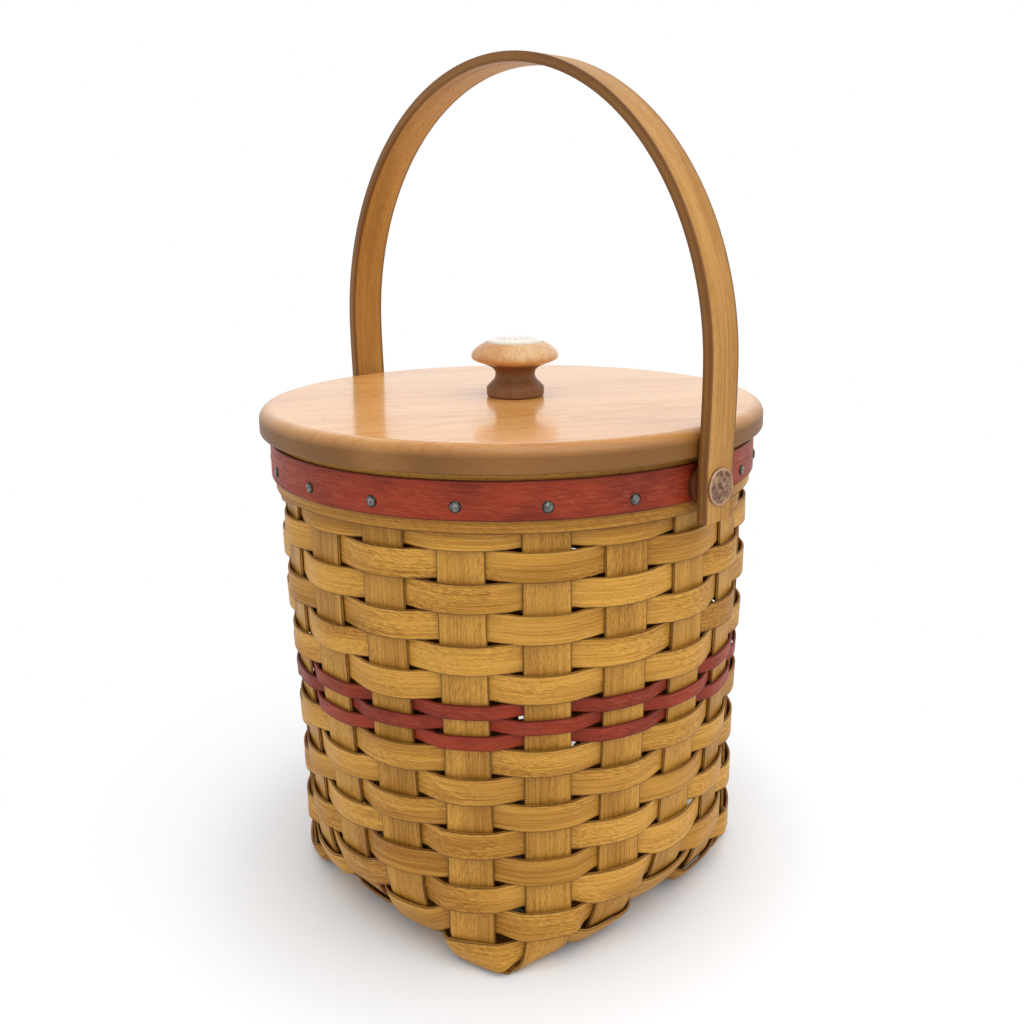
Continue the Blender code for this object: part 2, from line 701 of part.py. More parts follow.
def weave_wall(collection):
    """All the rows, from the foot up, each on the other side of the uprights from the last."""
    below = row_edges(FOOT_ROW_HEIGHT, WIDE_PITCH, WIDE_ROWS_BELOW, FOOT_ROW_GAP)
    accents = row_edges(ACCENT_ROWS_BOTTOM, ACCENT_PITCH, ACCENT_ROWS)
    above = row_edges(UPPER_ROWS_BOTTOM, UPPER_PITCH, WIDE_ROWS_ABOVE)
    rows = [
        (f"weaver_{number:02d}", edges, "weaver_splint")
        for number, edges in enumerate(below, start=1)
    ]
    rows += [
        (f"accent_weaver_{number}", edges, "red_splint")
        for number, edges in enumerate(accents, start=1)
    ]
    rows += [
        (f"weaver_{number:02d}", edges, "weaver_splint")
        for number, edges in enumerate(above, start=WIDE_ROWS_BELOW + 1)
    ]
    rows.append(("rim_filler_weaver", (STAKE_TOP - FILLER_WIDTH, STAKE_TOP), "weaver_splint"))
    for number, (name, (bottom, top), finish_name) in enumerate(rows):
        weaver(name, bottom, top, number % 2 == 1, finish_name, collection)


def main():
    clear_scene()
    parts = bpy.data.collections.new("pie_basket")
    cutters = bpy.data.collections.new("cutters")
    bpy.context.scene.collection.children.link(parts)
    bpy.context.scene.collection.children.link(cutters)
    pin_holes = pin_cutter(cutters)

    for place in range(-REACH, REACH + 1):
        number = place + REACH + 1
        stake(f"stake_x_{number}", place, True, pin_holes, parts)
        stake(f"stake_y_{number}", place, False, pin_holes, parts)
    weave_wall(parts)

    hoops = (
        ("inner_rim_hoop", HOOP_INNER, HOOP_OUTER, HOOP_WIDTH, RIM_TOP, "rim_wood"),
        ("outer_rim_band", OUTER_BAND_INNER, OUTER_BAND_OUTER, OUTER_BAND_WIDTH, RIM_TOP, "rim_wood"),
        (
            "accent_band",
            ACCENT_BAND_INNER,
            ACCENT_BAND_OUTER,
            ACCENT_BAND_WIDTH,
            ACCENT_BAND_TOP,
            "red_splint",
        ),
    )
    for name, inner, outer, width, top, finish_name in hoops:
        hoop(name, inner, outer, top - width, top, finish_name, pin_holes, parts)
    nailed = [number for number in range(UPRIGHTS) if number % (2 * STAKES_EACH_WAY) != 0]
    for count, number in enumerate(nailed, start=1):
        rim_nail(f"rim_nail_{count:02d}", number, parts)

    lid_board("lid_board", parts)
    lid_knob("lid_knob", parts)
    knob_inlay("knob_inlay", parts)
    knob_screw("knob_screw", parts)

    swing_handle("swing_handle", pin_holes, parts)
    for side, angle in (("right", 0.0), ("left", math.pi)):
        handle_rivet(f"handle_rivet_{side}", angle, parts)
        name, near, far = f"spacer_disc_{side}", BAND_FACE + SEAT_GAP, HANDLE_FOOT_INNER - SEAT_GAP
        pivot_ring(name, angle, near, far, SPACER_RADIUS, "knob_wood", parts)
        name, near, far = f"burr_washer_{side}", WASHER_FACE, HOOP_FACE - SEAT_GAP
        pivot_ring(name, angle, near, far, WASHER_RADIUS, "copper", parts)


main()
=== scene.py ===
"""Round splint basket on a square woven base, with a turned lid and a riveted swing handle.

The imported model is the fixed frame. Each sub-assembly is a class that holds its sizes in metres,
builds its visible pieces around the frame and dresses them in the finishes defined here.
"""

import logging
import math
import random
from collections.abc import Callable, Sequence
from dataclasses import dataclass, field
from enum import Enum
from functools import cache, cached_property

import bmesh
import bpy
from mathutils import Matrix, Vector


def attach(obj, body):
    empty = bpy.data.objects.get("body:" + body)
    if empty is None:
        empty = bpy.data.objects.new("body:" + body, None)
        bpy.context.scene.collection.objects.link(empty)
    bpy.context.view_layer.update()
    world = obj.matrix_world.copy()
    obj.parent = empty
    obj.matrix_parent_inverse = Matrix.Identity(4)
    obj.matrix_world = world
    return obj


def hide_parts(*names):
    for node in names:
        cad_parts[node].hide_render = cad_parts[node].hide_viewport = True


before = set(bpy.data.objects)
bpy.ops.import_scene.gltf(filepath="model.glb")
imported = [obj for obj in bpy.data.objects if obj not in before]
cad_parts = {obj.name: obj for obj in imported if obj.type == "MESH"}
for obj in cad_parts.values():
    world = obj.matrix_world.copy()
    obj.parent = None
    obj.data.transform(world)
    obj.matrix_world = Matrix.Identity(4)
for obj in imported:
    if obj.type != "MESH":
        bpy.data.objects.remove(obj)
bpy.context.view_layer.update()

LOG = logging.getLogger("splint_basket")
SHARP_ANGLE = math.radians(40)
FULL_TURN = 2 * math.pi
WHITE = (1.0, 1.0, 1.0, 1.0)
FLAT = (1.0, 1.0, 0.0)

# Waves that make up a strip's slow wander, and how much faster each is than the one before
DRIFT_WAVES = 3
DRIFT_GROWTH = 1.3

# Range that a noise's values mostly keep to, and the range that centres them
NOISE_SPAN = (0.3, 0.7)
CENTRED = (-0.5, 0.5)

Shade = tuple[int, int, int]
Point = tuple[float, float]
Place = tuple[float, float, float]
Profile = Sequence[tuple[float, ...]]
Socket = bpy.types.NodeSocket


class Body(Enum):
    """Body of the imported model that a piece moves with."""

    BASKET = "basket"
    LID = "lid"
    HANDLE = "handle"


class Grain(Enum):
    """Where the grain of a wood runs."""

    STRIP = "along the strip's own path"
    BOARD = "across a flat board, at an angle to X"
    POST = "straight up"


class Face(Enum):
    """Side of an upright that a weaver passes."""

    OUTSIDE = 1
    INSIDE = -1


def smooth_step(share: float) -> float:
    """Smooth rise from 0 to 1 as share goes from 0 to 1."""
    share = min(max(share, 0.0), 1.0)
    return share * share * (3 - 2 * share)


def link(made: bpy.types.Object) -> bpy.types.Object:
    """Puts an object into the scene, and returns it."""
    bpy.context.scene.collection.objects.link(made)
    return made


def tint(shade: Shade) -> tuple[float, float, float, float]:
    """Linear colour of a shade written as it looks, by the sRGB curve.

    Args:
        shade: red, green and blue from 0 to 255.

    Returns:
        The linear red, green, blue and alpha.
    """
    linear = [
        value / 255 / 12.92 if value <= 10 else ((value / 255 + 0.055) / 1.055) ** 2.4
        for value in shade
    ]
    return (*linear, 1.0)


def drift(seed: str, reach: float) -> Callable[[float], float]:
    """Slow seeded wander along a strip.

    Args:
        seed: name that fixes the wander.
        reach: length of its longest wave.

    Returns:
        A function of the distance along the strip, from -1 to 1.
    """
    draw = random.Random(seed)
    waves = []
    for order in range(DRIFT_WAVES):
        rate = FULL_TURN * (1 + DRIFT_GROWTH * order) / reach
        waves.append((rate, draw.uniform(0, FULL_TURN), 1 / (1 + order)))
    whole = sum(weight for _, _, weight in waves)

    def wander(along: float) -> float:
        """Wander at a distance along the strip."""
        return sum(math.sin(rate * along + turn) * weight for rate, turn, weight in waves) / whole

    return wander


class Bench:
    """Short ways to add nodes to a tree and link them."""

    def __init__(self, tree: bpy.types.NodeTree) -> None:
        """Takes the tree to work on."""
        self.tree = tree

    def add(self, kind: str, inputs: dict | None = None, **settings: object) -> bpy.types.Node:
        """Adds a node.

        Args:
            kind: the node's type.
            inputs: for each input's name or number, the value or the socket that feeds it.
            settings: the node's own settings.

        Returns:
            The new node.
        """
        node = self.tree.nodes.new(kind)
        for name, value in settings.items():
            setattr(node, name, value)
        for key, value in (inputs or {}).items():
            if isinstance(value, Socket):
                self.tree.links.new(value, node.inputs[key])
            else:
                node.inputs[key].default_value = value
        return node

    def maths(self, operation: str, *values: Socket | float, clamp: bool = False) -> Socket:
        """Result of a sum on numbers or sockets.

        Args:
            operation: the sum's name.
            values: the numbers or their sockets.
            clamp: whether the result is held between 0 and 1.

        Returns:
            The result's socket.
        """
        inputs = dict(enumerate(values))
        node = self.add("ShaderNodeMath", inputs, operation=operation, use_clamp=clamp)
        return node.outputs[0]

    def vector(
        self, operation: str, *values: Socket | Place, scale: Socket | float | None = None
    ) -> Socket:
        """Result of a sum on vectors, which is a vector.

        Args:
            operation: the sum's name.
            values: the vectors or their sockets.
            scale: the number that a scaling takes.

        Returns:
            The result's socket.
        """
        inputs = dict(enumerate(values))
        if scale is not None:
            inputs["Scale"] = scale
        return self.add("ShaderNodeVectorMath", inputs, operation=operation).outputs[0]


class Paint(Bench):
    """A material's nodes, around its one surface shader."""

    def __init__(self, name: str) -> None:
        """Makes the material.

        Args:
            name: the material's name.
        """
        self.material = bpy.data.materials.new(name)
        self.material.use_nodes = True
        super().__init__(self.material.node_tree)
        self.shader = self.tree.nodes["Principled BSDF"]

    def given(self, name: str) -> bpy.types.Node:
        """Node that reads one of the mesh's own attributes."""
        return self.add("ShaderNodeAttribute", attribute_name=name)

    def noise(
        self,
        place: Socket,
        size: Point,
        turn: float = 0.0,
        detail: float = 2.0,
        warp: float = 0.0,
    ) -> Socket:
        """Noise drawn out along X.

        Args:
            place: socket of the place on the piece, in metres.
            size: length and width of the noise's features.
            turn: angle of the features about Z.
            detail: how many finer layers it has.
            warp: how far it is distorted.

        Returns:
            The socket of its value, about 0.3 to 0.7.
        """
        length, width = size
        turned = self.add("ShaderNodeMapping", {"Vector": place, "Rotation": (0.0, 0.0, turn)})
        stretched = self.vector("MULTIPLY", turned.outputs[0], (1 / length, 1 / width, 1 / width))
        inputs = {"Vector": stretched, "Scale": 1.0, "Detail": detail, "Distortion": warp}
        return self.add("ShaderNodeTexNoise", inputs).outputs[0]

    def band(
        self, value: Socket, low: float, high: float, start: float = 0.0, end: float = 1.0
    ) -> Socket:
        """Value carried from low..high to start..end, and held there."""
        inputs = {0: value, 1: low, 2: high, 3: start, 4: end}
        return self.add("ShaderNodeMapRange", inputs, interpolation_type="SMOOTHSTEP").outputs[0]

    def mix(self, share: Socket, first: Socket | tuple, second: tuple, way: str = "MIX") -> Socket:
        """Colour between two colours.

        Args:
            share: socket of how much of the second it takes.
            first: the first colour or its socket.
            second: the second colour.
            way: how the second is laid over the first.

        Returns:
            The colour's socket.
        """
        inputs = {0: share, 6: first, 7: second}
        node = self.add("ShaderNodeMix", inputs, data_type="RGBA", blend_type=way)
        return node.outputs[2]

    def surface(
        self, colour: Socket, roughness: Socket, height: Socket, relief: float, constants: dict
    ) -> None:
        """Links what varies over the surface and sets what doesn't.

        Args:
            colour: socket of the base colour.
            roughness: socket of the roughness.
            height: socket of the relief's height, 0 to 1.
            relief: depth of the relief.
            constants: values of the shader's own inputs.
        """
        bump = self.add("ShaderNodeBump", {"Height": height, "Distance": relief, "Strength": 1.0})
        inputs = self.shader.inputs
        self.tree.links.new(colour, inputs["Base Color"])
        self.tree.links.new(roughness, inputs["Roughness"])
        self.tree.links.new(bump.outputs[0], inputs["Normal"])
        for name, value in constants.items():
            inputs[name].default_value = value


@dataclass(frozen=True)
class WoodFinish:
    """Stained and varnished wood with streaks, flecks, a curly figure, and edges that go dark with
    staining and painted shade.
    """

    name: str
    pale: Shade
    deep: Shade
    fleck: Shade
    # Edge colour: the cut edges' staining, with painted shade.
    edge_staining_and_shade: Shade
    rubbed: Shade = (255, 255, 255)
    rub: float = 0.0
    grain: Grain = Grain.STRIP
    grain_angle: float = 0.0
    streak: Point = (0.045, 0.0008)
    streak_weight: float = 0.45
    hair_scale: Point = (1 / 3, 1 / 3.2)
    hair_weight: float = 0.3
    tone_scale: Point = (2.6, 26.0)
    tone_span: Point = (0.15, 0.85)
    fleck_size: Point = (0.0024, 0.00028)
    fleck_span: Point = (0.6, 0.74)
    fleck_share: float = 0.6
    figure_size: Point = (0.009, 0.0026)
    figure_angle: float = 0.6
    figure_span: Point = (0.35, 0.65)
    figure: float = 0.3
    patch_scale: Point = (1.1, 22.0)
    patch_span: Point = (0.42, 0.62)
    scratch_scale: Point = (0.5, 0.9)
    scratch_angle: float = 0.12
    scratch_span: Point = (0.47, 0.66)
    rings: float = 0.0
    ring_size: Point = (0.5, 0.045)
    ring_count: float = 16.0
    ring_line: float = 0.72
    edge_staining_and_shade_strength: float = 0.8
    edge_play: tuple[float, ...] = (0.2, 0.6, 0.75, 1.0)
    pin_knots: tuple[Point, ...] = ()
    knot_span: Point = (0.0004, 0.0013)
    roughness: float = 0.5
    roughness_play: float = 0.06
    relief: float = 0.00012
    specular: float = 0.25
    edge_roughness: float = 0.5
    coat: float = 0.0
    coat_roughness: float = 0.3
    edge_coat: float = 0.0
    edge_coat_span: Point = (0.1, 0.6)

    def place(self, paint: Paint) -> Socket:
        """Socket of the place on the piece, with X along the grain.

        Args:
            paint: the material under construction.

        Returns:
            The place's socket.
        """
        if self.grain is Grain.STRIP:
            return paint.given("grain").outputs["Vector"]
        start = paint.add("ShaderNodeTexCoord").outputs["Object"]
        turn = (0.0, math.pi / 2, 0.0)
        if self.grain is Grain.BOARD:
            turn = (0.0, 0.0, -self.grain_angle)
        return paint.add("ShaderNodeMapping", {"Vector": start, "Rotation": turn}).outputs[0]

    def scaled(self, scale: Point) -> Point:
        """The streaks' length and width times two numbers."""
        return self.streak[0] * scale[0], self.streak[1] * scale[1]

    def growth(self, paint: Paint, place: Socket) -> Socket:
        """Growth lines: contours of a long slow noise.

        Args:
            paint: the material under construction.
            place: socket of the place, with X along the grain.

        Returns:
            The socket of a value that is 1 on a line.
        """
        slow = paint.noise(place, self.ring_size, detail=1.0, warp=0.3)
        waves = paint.maths("PINGPONG", paint.maths("MULTIPLY", slow, self.ring_count), 0.5)
        return paint.maths("MULTIPLY", waves, 2.0)

    def knots(self, paint: Paint) -> Socket:
        """Share of dark at the pin knots of a board.

        Args:
            paint: the material under construction.

        Returns:
            The share's socket.
        """
        place = paint.add("ShaderNodeTexCoord").outputs["Object"]
        dark = 0.0
        for x, y in self.pin_knots:
            ends = {0: paint.vector("MULTIPLY", place, FLAT), 1: (x, y, 0.0)}
            away = paint.add("ShaderNodeVectorMath", ends, operation="DISTANCE")
            spot = paint.band(away.outputs["Value"], *self.knot_span, 1.0, 0.0)
            dark = paint.maths("MAXIMUM", dark, spot)
        return dark

    @cache
    def material(self) -> bpy.types.Material:
        """The finish's material: streaks and figure, then wear and flecks, then the edges' staining
        and painted shade.

        Returns:
            The material, the same one each time.
        """
        paint = Paint(self.name)
        place = self.place(paint)
        streak = paint.noise(place, self.streak, detail=3.0)
        hair = paint.noise(place, self.scaled(self.hair_scale), detail=2.0)
        tone = paint.noise(place, self.scaled(self.tone_scale), detail=1.5)
        curl = paint.noise(place, self.figure_size, self.figure_angle, 1.5, 0.4)
        patch = paint.noise(place, self.scaled(self.patch_scale), detail=1.0)
        figure = paint.maths("MULTIPLY", paint.band(patch, *self.patch_span), self.figure)

        share = paint.band(tone, *NOISE_SPAN, *self.tone_span)
        for source, weight in ((streak, self.streak_weight), (hair, self.hair_weight)):
            centred = paint.band(source, *NOISE_SPAN, *CENTRED)
            share = paint.maths("MULTIPLY_ADD", centred, weight, share)
        curl_share = paint.band(curl, *self.figure_span, *CENTRED)
        share = paint.maths("MULTIPLY_ADD", curl_share, figure, share, clamp=True)
        colour = paint.mix(share, tint(self.deep), tint(self.pale))
        height = paint.maths("MULTIPLY_ADD", hair, 0.5, streak)
        if self.rings:
            line = paint.band(self.growth(paint, place), self.ring_line, 1.0)
            line_share = paint.maths("MULTIPLY", line, self.rings)
            colour = paint.mix(line_share, colour, tint(self.deep), "MULTIPLY")
        if self.rub:
            worn = paint.maths("MULTIPLY", paint.given("crest").outputs["Fac"], self.rub)
            size = self.scaled(self.scratch_scale)
            scratch = paint.noise(place, size, self.scratch_angle, 3.0, 0.5)
            worn_share = paint.maths("MULTIPLY", paint.band(scratch, *self.scratch_span), worn)
            colour = paint.mix(worn_share, colour, tint(self.rubbed))
        speck = paint.noise(place, self.fleck_size, detail=0.5)
        speck_share = paint.band(speck, *self.fleck_span, 0.0, self.fleck_share)
        colour = paint.mix(speck_share, colour, tint(self.fleck))
        if self.pin_knots:
            colour = paint.mix(self.knots(paint), colour, tint(self.fleck))

        # Painted shade with the staining: edges take the edge colour, for the cut edges' staining
        # and for shade in crevices and on sides turned from the light.
        edge = paint.given("edge").outputs["Fac"]
        uneven_edge_staining_and_shade = paint.maths("MULTIPLY", edge, paint.band(patch, *self.edge_play))
        edge_staining_and_shade_share = paint.maths("MULTIPLY", uneven_edge_staining_and_shade, self.edge_staining_and_shade_strength, clamp=True)
        colour = paint.mix(edge_staining_and_shade_share, colour, tint(self.edge_staining_and_shade))
        middle, play = self.roughness, self.roughness_play
        roughness = paint.band(streak, *NOISE_SPAN, middle + play, middle - play)
        if self.edge_coat:
            dull_edge = paint.maths("MULTIPLY", edge, self.edge_roughness)
            roughness = paint.maths("MAXIMUM", roughness, dull_edge)
        constants = {
            "Coat Weight": self.coat,
            "Coat Roughness": self.coat_roughness,
            "Specular IOR Level": self.specular,
        }
        paint.surface(colour, roughness, height, self.relief, constants)
        if self.edge_coat:
            coat = paint.band(edge, *self.edge_coat_span, self.coat, self.edge_coat)
            paint.tree.links.new(coat, paint.shader.inputs["Coat Weight"])
        return paint.material


@dataclass(frozen=True)
class MetalFinish:
    """Metal with a mottled patina and another shade towards its rim."""

    name: str
    bright: Shade
    dull: Shade
    rim: Shade
    mottle: float = 0.0022
    mottle_weight: float = 0.8
    fine_share: float = 1 / 6
    fine_weight: float = 0.4
    patina_span: Point = (0.42, 0.78)
    rim_strength: float = 0.85
    roughness: Point = (0.52, 0.3)
    relief: float = 0.00012

    @cache
    def material(self) -> bpy.types.Material:
        """The finish's material.

        Returns:
            The material, the same one each time.
        """
        paint = Paint(self.name)
        place = paint.add("ShaderNodeTexCoord").outputs["Object"]
        mottle = paint.noise(place, (self.mottle, self.mottle), detail=4.0, warp=0.4)
        fine_size = self.mottle * self.fine_share
        fine = paint.noise(place, (fine_size, fine_size), detail=3.0)
        share = paint.maths("MULTIPLY", mottle, self.mottle_weight)
        share = paint.maths("MULTIPLY_ADD", fine, self.fine_weight, share)
        colour = paint.mix(paint.band(share, *self.patina_span), tint(self.dull), tint(self.bright))
        edge = paint.given("edge").outputs["Fac"]
        colour = paint.mix(paint.maths("MULTIPLY", edge, self.rim_strength), colour, tint(self.rim))
        roughness = paint.band(mottle, *NOISE_SPAN, *self.roughness)
        paint.surface(colour, roughness, mottle, self.relief, {"Metallic": 1.0})
        return paint.material


@dataclass(frozen=True)
class GlazeFinish:
    """White glazed ceramic with a plain ring of dots and dashes."""

    name: str
    glaze: Shade
    shade: Shade
    dot: Shade
    dash: Shade
    repeats: int = 9
    ring_radius: float = 0.0078
    dot_radius: float = 0.0011
    dash_radius: float = 0.00077
    spot_span: Point = (0.75, 1.1)
    ink: float = 0.75
    cloud: float = 0.004
    cloud_span: Point = (0.4, 0.7)
    roughness: Point = (0.1, 0.16)
    relief: float = 0.00002
    coat: float = 0.5
    coat_roughness: float = 0.08

    def ornament(self, paint: Paint, place: Socket, turn: float, size: float) -> Socket:
        """Share of ink in a ring of round spots.

        Args:
            paint: the material under construction.
            place: socket of the place on the disc.
            turn: share of the spacing by which the ring is turned.
            size: radius of a spot.

        Returns:
            The socket of the share.
        """
        parts = paint.add("ShaderNodeSeparateXYZ", {0: place}).outputs
        angle = paint.maths("ARCTAN2", parts[1], parts[0])
        turns = paint.maths("MULTIPLY_ADD", angle, self.repeats / FULL_TURN, turn)
        aside = paint.maths("PINGPONG", turns, 0.5)
        spacing = FULL_TURN * self.ring_radius / self.repeats
        around = paint.maths("MULTIPLY", aside, spacing)
        radius = paint.add("ShaderNodeVectorMath", {0: place}, operation="LENGTH").outputs["Value"]
        outward = paint.maths("SUBTRACT", radius, self.ring_radius)
        squares = [paint.maths("POWER", leg, 2.0) for leg in (around, outward)]
        away = paint.maths("SQRT", paint.maths("ADD", *squares))
        inner, outer = self.spot_span
        return paint.band(away, size * inner, size * outer, 1.0, 0.0)

    @cache
    def material(self) -> bpy.types.Material:
        """The finish's material.

        Returns:
            The material, the same one each time.
        """
        paint = Paint(self.name)
        place = paint.add("ShaderNodeTexCoord").outputs["Object"]
        flat = paint.vector("MULTIPLY", place, FLAT)
        cloud = paint.noise(place, (self.cloud, self.cloud), detail=3.0)
        colour = paint.mix(paint.band(cloud, *self.cloud_span), tint(self.glaze), tint(self.shade))
        spots = ((0.0, self.dot_radius, self.dot), (0.5, self.dash_radius, self.dash))
        for turn, size, shade in spots:
            ink = paint.maths("MULTIPLY", self.ornament(paint, flat, turn, size), self.ink)
            colour = paint.mix(ink, colour, tint(shade))
        roughness = paint.band(cloud, *NOISE_SPAN, *self.roughness)
        constants = {"Coat Weight": self.coat, "Coat Roughness": self.coat_roughness}
        paint.surface(colour, roughness, cloud, self.relief, constants)
        return paint.material


Finish = WoodFinish | MetalFinish | GlazeFinish

STAKE_SPLINT = WoodFinish(
    "stake_splint",
    (202, 148, 62),
    (150, 99, 28),
    (104, 62, 16),
    (58, 28, 6),
    figure_size=(0.0036, 0.0008),
    figure_angle=0.3,
    figure=0.35,
)
WEAVER_SPLINT = WoodFinish(
    "weaver_splint",
    (212, 156, 64),
    (150, 97, 22),
    (112, 68, 16),
    (58, 28, 6),
    fleck_size=(0.0018, 0.00022),
    fleck_share=0.45,
    figure_size=(0.003, 0.0006),
    figure_angle=0.22,
    figure=0.55,
)
RED_SPLINT = WoodFinish(
    "red_splint",
    (154, 52, 22),
    (116, 34, 12),
    (88, 24, 10),
    (70, 16, 6),
    streak=(0.009, 0.0008),
    rubbed=(204, 112, 78),
    rub=0.16,
    fleck_share=0.3,
    figure_size=(0.005, 0.0016),
    figure=0.25,
)
RIM_WOOD = WoodFinish(
    "rim_wood",
    (204, 149, 60),
    (154, 102, 30),
    (96, 56, 10),
    (84, 44, 8),
    figure_size=(0.006, 0.0016),
    figure=0.2,
)
# The lid's edge colour is partly staining and partly painted shade on its rounding and side.
LID_WOOD = WoodFinish(
    "lid_wood",
    (240, 180, 104),
    (222, 153, 78),
    (138, 80, 34),
    (118, 72, 4),
    grain=Grain.BOARD,
    grain_angle=math.radians(62),
    streak=(0.09, 0.0016),
    fleck_size=(0.004, 0.0004),
    fleck_share=0.3,
    figure_size=(0.02, 0.005),
    figure_angle=1.2,
    figure=0.4,
    rings=0.35,
    edge_staining_and_shade_strength=1.0,
    pin_knots=((-0.012, -0.094), (0.043, -0.062)),
    roughness=0.3,
    edge_roughness=0.62,
    relief=0.00001,
    specular=0.5,
    coat=0.6,
    coat_roughness=0.12,
    edge_coat=0.12,
)
# The knob's edge colour also paints the shade under its head.
KNOB_WOOD = WoodFinish(
    "knob_wood",
    (226, 188, 138),
    (198, 142, 86),
    (140, 84, 40),
    (84, 34, 4),
    grain=Grain.POST,
    streak=(0.02, 0.0012),
    fleck_share=0.4,
    figure=0.2,
    edge_staining_and_shade_strength=1.0,
    roughness=0.34,
    edge_roughness=0.6,
    relief=0.00003,
    coat=0.4,
    edge_coat=0.04,
)
SPACER_WOOD = WoodFinish(
    "spacer_wood",
    (128, 66, 22),
    (88, 40, 12),
    (58, 26, 10),
    (40, 18, 8),
    grain=Grain.POST,
    streak=(0.012, 0.0009),
)
HANDLE_WOOD = WoodFinish(
    "handle_wood",
    (200, 148, 76),
    (158, 108, 42),
    (112, 68, 20),
    (92, 50, 12),
    streak=(0.06, 0.0007),
    fleck_size=(0.005, 0.0003),
    fleck_share=0.5,
    figure=0.12,
    edge_staining_and_shade_strength=0.85,
    roughness=0.42,
)
GLAZE = GlazeFinish("ceramic", (240, 236, 224), (230, 225, 210), (204, 140, 128), (142, 160, 112))
COPPER = MetalFinish("copper", (176, 140, 112), (98, 66, 56), (196, 160, 132))
STEEL = MetalFinish("steel", (152, 151, 147), (74, 71, 67), (28, 24, 21), mottle=0.0009)


@dataclass(frozen=True)
class Section:
    """Cross section of a flat strip with eased corners."""

    width: float
    thickness: float
    easing: float = 0.00022
    # Reach of the dark edges, which stand for the cut edge's staining and for painted shade in the
    # crevices beside it.
    staining_and_shade_reach: float = 0.0006
    rim_tone: float = 0.1
    crown_share: float = 0.45
    corner_steps: int = 2

    def points(self) -> list[tuple[float, float, float]]:
        """Outline of the section.

        Returns:
            For each point its place across as a share of the half width, its height as a share of
            the thickness, and how dark the edge is there, for staining and painted shade.
        """
        half, high = self.width / 2, self.thickness / 2
        crown, clean = half * self.crown_share, half - self.staining_and_shade_reach
        face = [(across, high, 0.0) for across in (-clean, -crown, 0.0, crown, clean)]
        corner = []
        for step in range(self.corner_steps + 1):
            angle = math.pi / 2 * step / self.corner_steps
            across = half - self.easing * (1 - math.sin(angle))
            corner.append((across, high - self.easing * (1 - math.cos(angle)), 1.0))
        side = face + corner + [(half, 0.0, self.rim_tone)]
        side += [(across, -rise, dark) for across, rise, dark in reversed(corner)]
        outline = side + [(-across, -rise, dark) for across, rise, dark in side]
        return [(across / half, rise / self.thickness, dark) for across, rise, dark in outline]


@dataclass
class Guide:
    """Stations that a strip is swept through."""

    middles: list[Vector] = field(default_factory=list)
    halves: list[Vector] = field(default_factory=list)
    bows: list[Vector] = field(default_factory=list)
    crests: list[float] = field(default_factory=list)

    def add(
        self, middle: Vector, half: Vector, bow: Vector | None = None, crest: float = 0.0
    ) -> None:
        """Adds a station.

        Args:
            middle: the middle of the strip.
            half: from the middle to its upper edge.
            bow: how far the mean of its edges lies from the middle.
            crest: how exposed it is to rubbing, 0 to 1.
        """
        self.middles.append(middle)
        self.halves.append(half)
        self.bows.append(bow or Vector())
        self.crests.append(crest)

    def outwards(self) -> list[Vector]:
        """Direction square to the strip's face at each station.

        Returns:
            The directions, each one long.
        """
        last = len(self.middles) - 1
        found = []
        for number, half in enumerate(self.halves):
            along = self.middles[min(number + 1, last)] - self.middles[max(number - 1, 0)]
            found.append(along.cross(half).normalized())
        return found

    def lengths(self) -> list[float]:
        """Distance of each station along the strip.

        Returns:
            The distances, from 0 at the first.
        """
        found = [0.0]
        for first, second in zip(self.middles, self.middles[1:]):
            found.append(found[-1] + (second - first).length)
        return found

    def mesh(self, name: str) -> bpy.types.Mesh:
        """The guide as a chain of edges that carries its directions.

        Args:
            name: the new mesh's name.

        Returns:
            The mesh.
        """
        mesh = bpy.data.meshes.new(name)
        links = [(number, number + 1) for number in range(len(self.middles) - 1)]
        mesh.from_pydata(self.middles, links, [])
        vectors = {"middle": self.middles, "half": self.halves, "bow": self.bows}
        vectors["outward"] = self.outwards()
        for key, values in vectors.items():
            layer = mesh.attributes.new(key, "FLOAT_VECTOR", "POINT")
            layer.data.foreach_set("vector", [part for value in values for part in value])
        for key, values in {"length": self.lengths(), "exposed": self.crests}.items():
            layer = mesh.attributes.new(key, "FLOAT", "POINT")
            layer.data.foreach_set("value", values)
        return mesh


